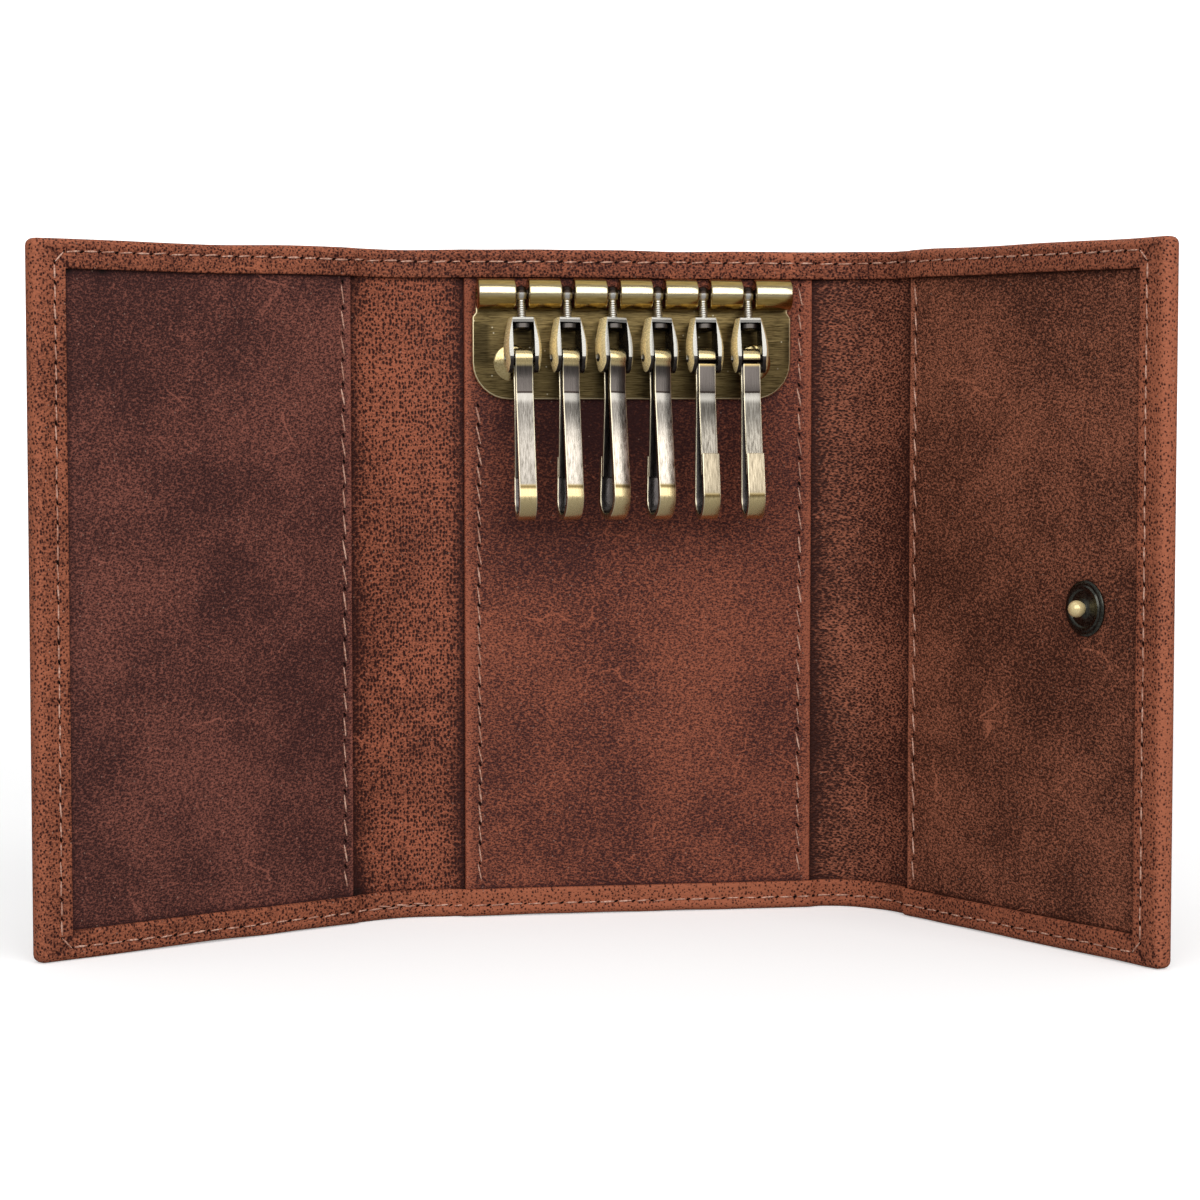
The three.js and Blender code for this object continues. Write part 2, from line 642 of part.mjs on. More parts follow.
const studFoot = -(panelFace + LAYER_GAP);
const neckRadius = BALL_RADIUS * 0.73;
const ballStart = Math.asin(neckRadius / BALL_RADIUS);
const coneEnd = BALL_RISE - BALL_RADIUS * Math.cos(ballStart);

function stud() {
  const rise = [
    [0, 0.45],
    [POST_RADIUS + HOLE_GAP, 0.45],
    [POST_RADIUS + HOLE_GAP, 0],
    [STUD_RADIUS, 0],
    [STUD_RADIUS, 0.35],
    [STUD_RADIUS - 0.3, 0.5],
    [STUD_RADIUS - 0.75, 0.5],
    [STUD_RADIUS - 0.9, 0.75],
    [STUD_RADIUS - 1.35, 0.75],
    [STUD_RADIUS - 1.55, 0.55],
    [STUD_RADIUS - 1.95, 0.55],
    [neckRadius, coneEnd - LAYER_GAP],
  ];
  for (let i = 1; i <= 8; i += 1) {
    const angle = ballStart + (Math.PI - ballStart) * (i / 8);
    rise.push([BALL_RADIUS * Math.sin(angle), BALL_RISE - LAYER_GAP - BALL_RADIUS * Math.cos(angle)]);
  }
  rise[rise.length - 1][0] = 0;
  return moved(turned(rise.map(([r, h]) => [r, studFoot - h]), 24, 'y'), STUD_REACH, 0, SNAP_HEIGHT);
}

function cap() {
  const foot = coverBack + LAYER_GAP;
  const post = [[0, studFoot - 0.3], [POST_RADIUS, studFoot - 0.3], [POST_RADIUS, foot]];
  const profile = [...post, [CAP_RADIUS, foot]];
  for (let i = 0; i <= 6; i += 1) {
    const angle = (i / 6) * 90 * DEG;
    profile.push([CAP_RADIUS * Math.cos(angle), foot + 0.2 + (CAP_RISE - 0.2) * Math.sin(angle)]);
  }
  profile[profile.length - 1][0] = 0;
  return moved(turned(profile, 24, 'y'), STUD_REACH, 0, SNAP_HEIGHT);
}

const socketFoot = coverBack + LAYER_GAP;
const mouth = BALL_RADIUS + SOCKET_GAP;
const ringLow = SOCKET_RISE - 0.85;
const ringHigh = SOCKET_RISE - 0.4;
const ringOuter = mouth + 0.85;

function socket() {
  const seat = eyeletRadius + HOLE_GAP;
  const profile = [
    [seat, 0],
    [SOCKET_RADIUS, 0],
    [SOCKET_RADIUS, 0.35],
    [SOCKET_RADIUS - 0.3, 0.6],
    [SOCKET_RADIUS - 1, SOCKET_RISE - 0.3 - LAYER_GAP],
    [SOCKET_RADIUS - 1.4, SOCKET_RISE - LAYER_GAP],
    [mouth, SOCKET_RISE - LAYER_GAP],
    [mouth, ringHigh],
    [ringOuter + HOLE_GAP, ringHigh],
    [ringOuter + HOLE_GAP, ringLow - LAYER_GAP],
    [mouth, ringLow - LAYER_GAP],
    [mouth, 0.75],
    [seat, 0.75],
    [seat, 0],
  ];
  return moved(turned(profile.map(([r, h]) => [r, socketFoot + h]), 24, 'y'), -socketReach, 0, SNAP_HEIGHT);
}

function springRing() {
  const inner = BALL_RADIUS + 0.2;
  const start = 25 * DEG;
  const outline = new THREE.Shape();
  outline.absarc(0, 0, ringOuter, start, 2 * Math.PI - start, false);
  outline.absarc(0, 0, inner, 2 * Math.PI - start, start, true);
  const low = socketFoot + ringLow;
  const high = socketFoot + ringHigh - LAYER_GAP;
  return moved(alongY(outline, low, high), -socketReach, 0, SNAP_HEIGHT);
}

function eyelet() {
  const inner = mouth;
  const low = LAYER_GAP / 2;
  const top = socketFoot + 0.65;
  const profile = [
    [inner, low],
    [flangeRadius, low],
    [flangeRadius, EYELET_FLANGE],
    [eyeletRadius, EYELET_FLANGE],
    [eyeletRadius, top],
    [inner, top],
    [inner, low],
  ];
  return moved(turned(profile, 28, 'y'), -socketReach, 0, SNAP_HEIGHT);
}

piece(rightPanel, 'snap_stud', gunmetal, stud());
piece(rightPanel, 'snap_cap', antiqueBrass, cap());
piece(leftPanel, 'snap_socket', gunmetal, socket());
piece(leftPanel, 'snap_spring', antiqueBrass, springRing());
piece(leftPanel, 'snap_eyelet', gunmetal, eyelet());

export default keyCase;
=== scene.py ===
# %% [markdown]
# A folding leather key case, from flat leather to the standing case.
# The measured solids of the case are loaded first and never moved. Everything that is made below is laid
# over them: leather with turned edges and stitches, and metal with rounded edges and worn finishes.

# %% Load the measured frame
import json
import math
import random

import bmesh
import bpy
from mathutils import Matrix, Vector, noise


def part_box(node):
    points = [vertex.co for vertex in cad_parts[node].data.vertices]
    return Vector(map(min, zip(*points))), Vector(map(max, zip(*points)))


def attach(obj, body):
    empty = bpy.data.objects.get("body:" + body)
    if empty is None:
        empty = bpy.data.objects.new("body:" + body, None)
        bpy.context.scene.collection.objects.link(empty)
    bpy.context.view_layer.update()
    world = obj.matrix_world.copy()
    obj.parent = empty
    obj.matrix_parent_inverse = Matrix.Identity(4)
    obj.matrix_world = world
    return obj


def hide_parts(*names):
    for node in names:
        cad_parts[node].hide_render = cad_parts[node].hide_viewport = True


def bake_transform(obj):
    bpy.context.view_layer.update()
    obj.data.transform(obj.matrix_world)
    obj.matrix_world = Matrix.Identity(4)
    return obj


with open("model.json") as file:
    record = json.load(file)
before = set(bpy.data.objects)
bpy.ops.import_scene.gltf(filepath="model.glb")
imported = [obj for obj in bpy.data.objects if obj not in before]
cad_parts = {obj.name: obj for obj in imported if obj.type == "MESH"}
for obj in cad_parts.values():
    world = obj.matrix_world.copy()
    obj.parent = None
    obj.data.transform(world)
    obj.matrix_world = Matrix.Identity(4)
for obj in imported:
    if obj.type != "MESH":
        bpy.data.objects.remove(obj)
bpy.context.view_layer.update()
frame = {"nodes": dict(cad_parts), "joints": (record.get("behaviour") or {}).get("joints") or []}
joints = {joint["name"]: joint for joint in frame["joints"]}
MM = 0.001

# %% [markdown]
# The camera comes first.
# A long lens from half a metre away, slightly to the left of the case and a little above its middle,
# gives the calm perspective of a product picture.

# %% Camera
camera_data = bpy.data.cameras.new("case_camera")
camera_data.sensor_width = 36
camera_data.lens = 96.33
camera = bpy.data.objects.new("case_camera", camera_data)
camera.location = (-95.5 * MM, -514.3 * MM, 86.15 * MM)
camera.rotation_euler = (math.radians(90 - 3.82), 0, math.radians(-9.83))
bpy.context.scene.collection.objects.link(camera)
bpy.context.scene.camera = camera
print("camera lens", camera_data.lens)

# %% [markdown]
# Materials are built from small shader nodes. Five helpers keep that short. One adds a node and fills its
# sockets with numbers or with links, one mixes two colours, one eases a value from one range into another, one
# reckons with two values, and one turns a colour as a screen shows it into the shader's own numbers.

# %% Node helpers
def node(tree, kind, sockets=None, **settings):
    made = tree.nodes.new("ShaderNode" + kind)
    for name, value in settings.items():
        setattr(made, name, value)
    for key, value in (sockets or {}).items():
        if isinstance(value, bpy.types.NodeSocket):
            tree.links.new(value, made.inputs[key])
        else:
            made.inputs[key].default_value = value
    return made


def mixed(tree, amount, first, second, how="MIX"):
    return node(tree, "Mix", {0: amount, 6: first, 7: second}, data_type="RGBA", blend_type=how).outputs[2]


def eased(tree, value, low, high, to_low=0.0, to_high=1.0):
    sockets = {0: value, 1: low, 2: high, 3: to_low, 4: to_high}
    return node(tree, "MapRange", sockets, interpolation_type="SMOOTHSTEP").outputs[0]


def reckon(tree, how, first, second=0.0):
    return node(tree, "Math", {0: first, 1: second}, operation=how).outputs[0]


def tone(red, green, blue):
    parts = []
    for part in (red, green, blue):
        share = part / 255
        parts.append(share / 12.92 if share <= 0.04045 else ((share + 0.055) / 1.055) ** 2.4)
    return (*parts, 1.0)


print("a middle grey is", [round(part, 3) for part in tone(128, 128, 128)])

# %% [markdown]
# Leather is skin, so its face shows pores. Each pore is a small dark pit, and the pits lie close together in
# rough rows. A Voronoi texture gives one cell to each pore, and its random colour makes some pits wide and
# others almost closed. The pattern must lie on the sheet and bend with it, so it reads where a point lay when
# the leather was flat: an attribute named flat_place, in millimetres. It is a node group, because every
# leather here shares it.

# %% Pores, a node group
def new_group(name, inputs, outputs):
    group = bpy.data.node_groups.new(name, "ShaderNodeTree")
    for label, kind in inputs:
        group.interface.new_socket(label, in_out="INPUT", socket_type="NodeSocket" + kind)
    for label, kind in outputs:
        group.interface.new_socket(label, in_out="OUTPUT", socket_type="NodeSocket" + kind)
    return group, group.nodes.new("NodeGroupInput").outputs, group.nodes.new("NodeGroupOutput").inputs


def strayed(tree, place, scale, reach):
    """The same place, pushed about by a slow noise, so that a pattern loses its regular look."""
    slow = node(tree, "TexNoise", {"Vector": place, "Scale": scale, "Detail": 2.0}, noise_dimensions="2D")
    push = node(tree, "VectorMath", {0: slow.outputs["Color"], 1: (0.5, 0.5, 0.5)}, operation="SUBTRACT")
    short = node(tree, "VectorMath", {0: push.outputs[0], "Scale": reach}, operation="SCALE")
    return node(tree, "VectorMath", {0: place, 1: short.outputs[0]}, operation="ADD").outputs[0]


pores, given, put = new_group(
    "leather_pores",
    [("Place", "Vector"), ("Cells", "Float"), ("Width", "Float"), ("Stray", "Float"), ("Lie", "Vector"),
     ("Stretch", "Vector")],
    [("Pits", "Float"), ("Relief", "Float")],
)
upright = node(pores, "Mapping", {"Vector": strayed(pores, given["Place"], 0.6, 0.4), "Rotation": given["Lie"],
                                  "Scale": given["Stretch"]})
cell_sockets = {"Vector": upright.outputs[0], "Scale": given["Cells"], "Randomness": given["Stray"]}
cells = node(pores, "TexVoronoi", cell_sockets, voronoi_dimensions="2D")
chance = node(pores, "SeparateColor", {0: cells.outputs["Color"]})
rim = reckon(pores, "MULTIPLY", given["Width"], eased(pores, chance.outputs[0], 0.0, 1.0, 0.5, 1.1))
bottom = reckon(pores, "MULTIPLY", rim, 0.12)
pit = eased(pores, cells.outputs["Distance"], bottom, rim, 1.0, 0.0)
pores.links.new(pit, put["Pits"])
pores.links.new(reckon(pores, "SUBTRACT", 1.0, pit), put["Relief"])
print("group", pores.name, "with", len(pores.nodes), "nodes")

# %% [markdown]
# Dye never takes evenly. The second group gives slow clouds of lighter and darker leather, a finer mottle and
# a short fibre, each as a value that a material can use for colour, gloss or relief.

# %% Dye clouds, a node group
clouds, given, put = new_group(
    "dye_clouds",
    [("Place", "Vector"), ("Cloud Scale", "Float"), ("Fibre Scale", "Float")],
    [("Clouds", "Float"), ("Mottle", "Float"), ("Fibre", "Float")],
)


def cloud_noise(scale, detail, roughness, place):
    sockets = {"Vector": place, "Scale": scale, "Detail": detail, "Roughness": roughness}
    return node(clouds, "TexNoise", sockets, noise_dimensions="2D").outputs["Fac"]


slow = cloud_noise(given["Cloud Scale"], 7.0, 0.76, given["Place"])
quick = cloud_noise(reckon(clouds, "MULTIPLY", given["Cloud Scale"], 26.0), 4.0, 0.65, given["Place"])
laid = node(clouds, "Mapping", {"Vector": given["Place"], "Scale": (0.6, 1.0, 1.0), "Rotation": (0, 0, 0.2)})
hair = cloud_noise(given["Fibre Scale"], 2.0, 0.6, laid.outputs[0])
clouds.links.new(eased(clouds, slow, 0.32, 0.68), put["Clouds"])
clouds.links.new(eased(clouds, quick, 0.3, 0.7), put["Mottle"])
clouds.links.new(eased(clouds, hair, 0.3, 0.7), put["Fibre"])
print("group", clouds.name, "with", len(clouds.nodes), "nodes")

# %% [markdown]
# A used hide carries marks: fine creases where the waxed colour has broken to orange, and a few pale specks.
# Creases are the borders of large warped Voronoi cells, kept only here and there. Specks are the centres of
# small cells, and only some cells have one.

# %% Creases and specks, a node group
marks, given, put = new_group(
    "hide_marks", [("Place", "Vector"), ("Scale", "Float")], [("Creases", "Float"), ("Specks", "Float")])
warped = strayed(marks, strayed(marks, given["Place"], 0.06, 12.0), 0.9, 0.5)
flattened = node(marks, "Mapping", {"Vector": warped, "Scale": (0.5, 1.0, 1.0), "Rotation": (0, 0, 0.35)})
borders = node(marks, "TexVoronoi", {"Vector": flattened.outputs[0], "Scale": given["Scale"]},
               voronoi_dimensions="2D", feature="DISTANCE_TO_EDGE")
thin = eased(marks, borders.outputs["Distance"], 0.002, 0.03, 1.0, 0.0)
where = node(marks, "TexNoise", {"Vector": given["Place"], "Scale": 0.07, "Detail": 3.0}, noise_dimensions="2D")
marks.links.new(reckon(marks, "MULTIPLY", thin, eased(marks, where.outputs["Fac"], 0.57, 0.72)), put["Creases"])
dots = node(marks, "TexVoronoi", {"Vector": given["Place"], "Scale": 0.36}, voronoi_dimensions="2D")
luck = node(marks, "SeparateColor", {0: dots.outputs["Color"]})
dot = eased(marks, dots.outputs["Distance"], 0.02, 0.06, 1.0, 0.0)
marks.links.new(reckon(marks, "MULTIPLY", dot, eased(marks, luck.outputs[0], 0.62, 0.7)), put["Specks"])
print("group", marks.name, "with", len(marks.nodes), "nodes")

# %% [markdown]
# A material is called a finish here. Four helpers serve them all: one places a group in a finish, one opens a new
# finish, one gives it a fine relief through a Bump node, and one adds up values by their shares.

# %% Finish helpers
def use_group(tree, group, sockets):
    made = tree.nodes.new("ShaderNodeGroup")
    made.node_tree = group
    for key, value in sockets.items():
        if isinstance(value, bpy.types.NodeSocket):
            tree.links.new(value, made.inputs[key])
        else:
            made.inputs[key].default_value = value
    return made.outputs


def new_finish(name, **settings):
    finish = bpy.data.materials.new(name)
    finish.use_nodes = True
    tree = finish.node_tree
    shader = tree.nodes["Principled BSDF"]
    for key, value in settings.items():
        shader.inputs[key.replace("_", " ")].default_value = value
    return finish, tree, shader


def relief(tree, shader, height, depth, strength=1.0):
    bump = node(tree, "Bump", {"Height": height, "Distance": depth, "Strength": strength})
    tree.links.new(bump.outputs[0], shader.inputs["Normal"])


def summed(tree, shares):
    total = None
    for value, share in shares:
        part = reckon(tree, "MULTIPLY", value, share)
        total = part if total is None else reckon(tree, "ADD", total, part)
    return total


print("groups so far", [group.name for group in (pores, clouds, marks)])

# %% [markdown]
# All the leather is one kind of waxed hide: an orange ground with dark, almost purple wax in its pores and
# hollows. The cover and the lining show much of the ground, and the panels are nearly filled with wax. So one
# recipe with different shares makes them all. The wax is a mask that mixes the dark colour over the ground.
# It is rubbed off where one attribute says so, which holds real wear and also painted light, and it gathers
# where another says so, which holds glue, a dark mitre line, dark wax and painted shade. Where that one is
# strong, glue and painted shadow make the leather nearly black.

# %% Leather finishes
def waxed_hide(name, ground, wax, grain, shares):
    """Leather of one colour. Grain holds the pores' number per millimetre, width, stray, lie and stretch, and
    the fibre's scale. Shares say how much pores, clouds, mottle and fibre fill it with wax, over a base."""
    finish, tree, shader = new_finish(name, Specular_IOR_Level=0.14)
    place = node(tree, "Attribute", attribute_name="flat_place").outputs["Vector"]
    worn = node(tree, "Attribute", attribute_name="worn").outputs["Fac"]
    shaded = node(tree, "Attribute", attribute_name="shaded").outputs["Fac"]
    cells_per_mm, width, stray, lie, stretch, fibre_scale = grain
    pits, cloud, mottle, fibre, base = shares
    dye = use_group(tree, clouds, {"Place": place, "Cloud Scale": 0.03, "Fibre Scale": fibre_scale})
    pit = use_group(tree, pores, {"Place": place, "Cells": cells_per_mm, "Width": width, "Stray": stray,
                                  "Lie": (0, 0, lie), "Stretch": (*stretch, 1.0)})
    mark = use_group(tree, marks, {"Place": place, "Scale": 0.16})
    # Painted shade, glue and dark marks add to the wax here.
    filled = summed(tree, [(pit["Pits"], pits), (dye["Clouds"], cloud), (dye["Mottle"], mottle),
                           (dye["Fibre"], fibre), (shaded, 0.6)])
    filled = reckon(tree, "ADD", filled, base)
    # Wear, painted light and creases take wax away.
    lightened = summed(tree, [(worn, 0.55), (mark["Creases"], 0.4)])
    bare = eased(tree, reckon(tree, "SUBTRACT", filled, lightened), 0.0, 1.0, 1.0, 0.0)
    colour = mixed(tree, reckon(tree, "POWER", bare, 1.5), wax, ground)
    colour = mixed(tree, reckon(tree, "MULTIPLY", mark["Specks"], 0.5), colour, tone(190, 150, 132))
    # Nearly black where glue lies and where the painted shadow is strong.
    colour = mixed(tree, eased(tree, shaded, 0.8, 1.8, 0.0, 0.85), colour, tone(26, 18, 17))
    tree.links.new(colour, shader.inputs["Base Color"])
    tree.links.new(eased(tree, filled, 0.0, 1.0, 0.74, 0.56), shader.inputs["Roughness"])
    height = summed(tree, [(pit["Relief"], 1.0), (dye["Fibre"], -0.5), (mark["Creases"], 0.4)])
    relief(tree, shader, height, 0.00007, 0.8)
    return finish


cover_leather = waxed_hide("cover_leather", tone(182, 107, 78), tone(56, 24, 20),
                           (1.8, 0.46, 0.92, 0.0, (1.0, 0.8), 3.4), (0.7, 0.24, 0.14, 0.4, -0.06))
lining_leather = waxed_hide("lining_leather", tone(184, 106, 78), tone(56, 26, 22),
                            (1.8, 0.52, 0.74, 0.0, (1.0, 0.7), 3.4), (0.95, 0.28, 0.12, 0.42, -0.08))
right_lining = waxed_hide("right_lining_leather", tone(178, 108, 82), tone(58, 28, 22),
                          (2.2, 0.56, 0.74, 0.5, (0.7, 1.0), 3.2), (0.66, 0.28, 0.12, 0.48, -0.03))
left_leather = waxed_hide("left_panel_leather", tone(154, 93, 78), tone(60, 33, 32),
                          (2.9, 0.62, 0.8, 0.3, (0.8, 1.0), 2.7), (0.36, 0.28, 0.1, 0.42, 0.09))
middle_leather = waxed_hide("middle_panel_leather", tone(172, 99, 74), tone(66, 35, 34),
                            (2.9, 0.62, 0.8, 0.2, (0.8, 1.0), 2.7), (0.38, 0.26, 0.1, 0.44, 0.0))
right_leather = waxed_hide("right_panel_leather", tone(186, 114, 86), tone(58, 29, 21),
                           (2.9, 0.62, 0.8, -0.3, (0.85, 1.0), 2.7), (0.38, 0.26, 0.1, 0.42, 0.05))
leathers = (cover_leather, lining_leather, right_lining, left_leather, middle_leather, right_leather)
print("finishes", [finish.name for finish in leathers])

# %% [markdown]
# The thread is a waxed polyester, pale pink-tan. The needle holes beside it are dark patches, painted shade where
# the holes are.

# %% Thread finish
def spun_thread(name, light, dark, shine):
    finish, tree, shader = new_finish(name, Specular_IOR_Level=shine)
    place = node(tree, "TexCoord").outputs["Object"]
    strands = node(tree, "TexNoise", {"Vector": place, "Scale": 2600.0, "Detail": 2.0}).outputs["Fac"]
    shade = node(tree, "TexNoise", {"Vector": place, "Scale": 240.0, "Detail": 1.0}).outputs["Fac"]
    colour = mixed(tree, eased(tree, strands, 0.35, 0.65), dark, light)
    colour = mixed(tree, eased(tree, shade, 0.45, 0.7, 0.0, 0.6), colour, dark)
    tree.links.new(colour, shader.inputs["Base Color"])
    tree.links.new(eased(tree, strands, 0.3, 0.7, 0.55, 0.75), shader.inputs["Roughness"])
    relief(tree, shader, strands, 0.00006, 0.6)
    return finish


thread = spun_thread("waxed_thread", tone(232, 188, 166), tone(174, 120, 98), 0.5)
# Dark patches of painted shade for the needle holes.
needle_hole = spun_thread("needle_hole", tone(30, 15, 13), tone(14, 7, 6), 0.05)
print("finishes", thread.name, needle_hole.name)

# %% [markdown]
# The metal is brass that was darkened and then brushed, with bare edges, and steel strip with a brass tint.
# Fine lines along the brushing direction come from noise that is stretched. They are a group as well: each
# metal gives its own direction by its own coordinates.

# %% Brushing, a node group
brushing, given, put = new_group(
    "brushing",
    [("Vector", "Vector"), ("Lines", "Float")],
    [("Lines", "Float"), ("Stain", "Float")],
)
fine = node(brushing, "TexNoise", {"Vector": given["Vector"], "Scale": given["Lines"], "Detail": 3.0,
                                   "Roughness": 0.7})
broad = reckon(brushing, "MULTIPLY", given["Lines"], 0.12)
darkening = node(brushing, "TexNoise", {"Vector": given["Vector"], "Scale": broad, "Detail": 4.0})
brushing.links.new(fine.outputs["Fac"], put["Lines"])
brushing.links.new(eased(brushing, darkening.outputs["Fac"], 0.35, 0.7), put["Stain"])
print("group", brushing.name, "with", len(brushing.nodes), "nodes")

# %% [markdown]
# One recipe makes every brushed metal. Antiqued brass is darkened all over and then rubbed, so it is bright only
# where an attribute marks it as polished; on the barrel that mark is a painted highlight. Another attribute marks
# painted shade in the clevises, nearly black. The plate also gets painted shade in a row behind the hooks, and
# has a few bright nicks.

# %% Metal recipe
HOOK_PITCH = 7.4


def brushed_metal(name, light, dark, stretch, smooth, rough, lines=3.0, depth=0.00002):
    """Metal brushed along one direction of the piece's own coordinates, which are in millimetres."""
    finish, tree, shader = new_finish(name, Metallic=1.0)
    place = node(tree, "Attribute", attribute_name="own_place").outputs["Vector"]
    drawn = node(tree, "Mapping", {"Vector": place, "Scale": stretch})
    brush = use_group(tree, brushing, {"Vector": drawn.outputs[0], "Lines": lines})
    colour = mixed(tree, eased(tree, brush["Lines"], 0.3, 0.7), dark, light)
    colour = mixed(tree, reckon(tree, "MULTIPLY", brush["Stain"], 0.35), colour, dark)
    tree.links.new(eased(tree, brush["Lines"], 0.25, 0.75, smooth, rough), shader.inputs["Roughness"])
    relief(tree, shader, brush["Lines"], depth, 0.35)
    return finish, tree, shader, place, colour


def close_finish(made):
    finish, tree, shader, place, colour = made
    tree.links.new(colour, shader.inputs["Base Color"])
    return finish


def polish_and_painted_light(made, bright):
    """Antiqued metal: bright where it is polished and where a highlight is painted, nearly black where shade is
    painted.
    """
    finish, tree, shader, place, colour = made
    polished = node(tree, "Attribute", attribute_name="polished").outputs["Fac"]
    deep = node(tree, "Attribute", attribute_name="deep").outputs["Fac"]
    colour = mixed(tree, deep, mixed(tree, polished, colour, bright), tone(40, 34, 30))
    return close_finish((finish, tree, shader, place, colour))


def behind_hooks(made, pitch):
    """Painted shade on the plate in a row behind the hooks, and bright nicks."""
    finish, tree, shader, place, colour = made
    axes = node(tree, "SeparateXYZ", {0: place}).outputs
    turns = reckon(tree, "FRACT", reckon(tree, "DIVIDE", reckon(tree, "SUBTRACT", axes["X"], 0.9), pitch))
    column = eased(tree, reckon(tree, "ABSOLUTE", reckon(tree, "SUBTRACT", turns, 0.5)), 0.14, 0.28, 1.0, 0.0)
    row = reckon(tree, "MULTIPLY", eased(tree, axes["Z"], -4.0, -5.2), eased(tree, axes["Z"], -12.0, -10.5))
    # Painted shade in a row behind the hooks.
    darkening = reckon(tree, "MULTIPLY", reckon(tree, "MULTIPLY", column, row), 0.6)
    flat = node(tree, "Mapping", {"Vector": place, "Rotation": (math.pi / 2, 0, 0)}).outputs[0]
    nick = use_group(tree, marks, {"Place": flat, "Scale": 0.16})["Specks"]
    colour = mixed(tree, darkening, colour, tone(30, 24, 14))
    colour = mixed(tree, reckon(tree, "MULTIPLY", nick, 0.7), colour, tone(240, 230, 200))
    return finish, tree, shader, place, colour


print("hook pitch", HOOK_PITCH, "mm")

# %% [markdown]
# Six metals come from the recipe, each with its own light and dark tone, brushing direction and gloss. The cheeks
# of the clevises are lacquered, so they are less metallic than the rest.

# %% Metal finishes
plate_brass = polish_and_painted_light(behind_hooks(brushed_metal(
    "plate_brass", tone(160, 139, 93), tone(57, 45, 24), (0.1, 1.0, 2.2), 0.3, 0.44, 3.2), HOOK_PITCH),
    tone(236, 220, 176))
dome_brass = polish_and_painted_light(brushed_metal(
    "dome_brass", tone(255, 236, 182), tone(252, 226, 164), (1.0, 1.0, 1.0), 0.2, 0.32, 3.0, 0.000006),
    tone(196, 193, 184))
dome_brass.node_tree.nodes["Principled BSDF"].inputs["Metallic"].default_value = 0.35
rivet_brass = close_finish(brushed_metal(
    "rivet_brass", tone(224, 206, 156), tone(186, 164, 112), (1.0, 1.0, 1.0), 0.12, 0.22))
barrel_brass = polish_and_painted_light(brushed_metal(
    "barrel_brass", tone(202, 172, 100), tone(160, 133, 74), (0.1, 1.0, 1.0), 0.12, 0.22, 4.0, 0.00001),
    tone(230, 217, 180))
dark_steel = polish_and_painted_light(brushed_metal(
    "dark_steel", tone(70, 60, 54), tone(44, 36, 32), (1.0, 1.0, 0.4), 0.24, 0.42), tone(222, 220, 214))
gunmetal = close_finish(brushed_metal(
    "gunmetal", tone(96, 96, 88), tone(56, 56, 52), (1.0, 1.0, 1.0), 0.2, 0.36))
metals = (plate_brass, dome_brass, rivet_brass, barrel_brass, dark_steel, gunmetal)
print("finishes", [finish.name for finish in metals])

# %% [markdown]
# The hook strip is plated steel, brushed along its length. Its edges are painted pale brass, which also stands in
# for the highlight along them. The short neck under the roll is painted dark, a painted reflection, and ends at a
# dark step of painted shade, with a painted highlight below. The leg is painted darker at the top, painted shade,
# and lighter further down, painted light, and a dark line of painted reflection starts the warm tint of the bend.
# The tip is a little warmer as well, and the inner side is painted a darker grey, painted shade. All this depends
# on where a point lies on the strip, which each strip keeps as an attribute named own_place, in millimetres from
# its pin, and on its side. Each strip has its own share of the painted shade and light on its leg.

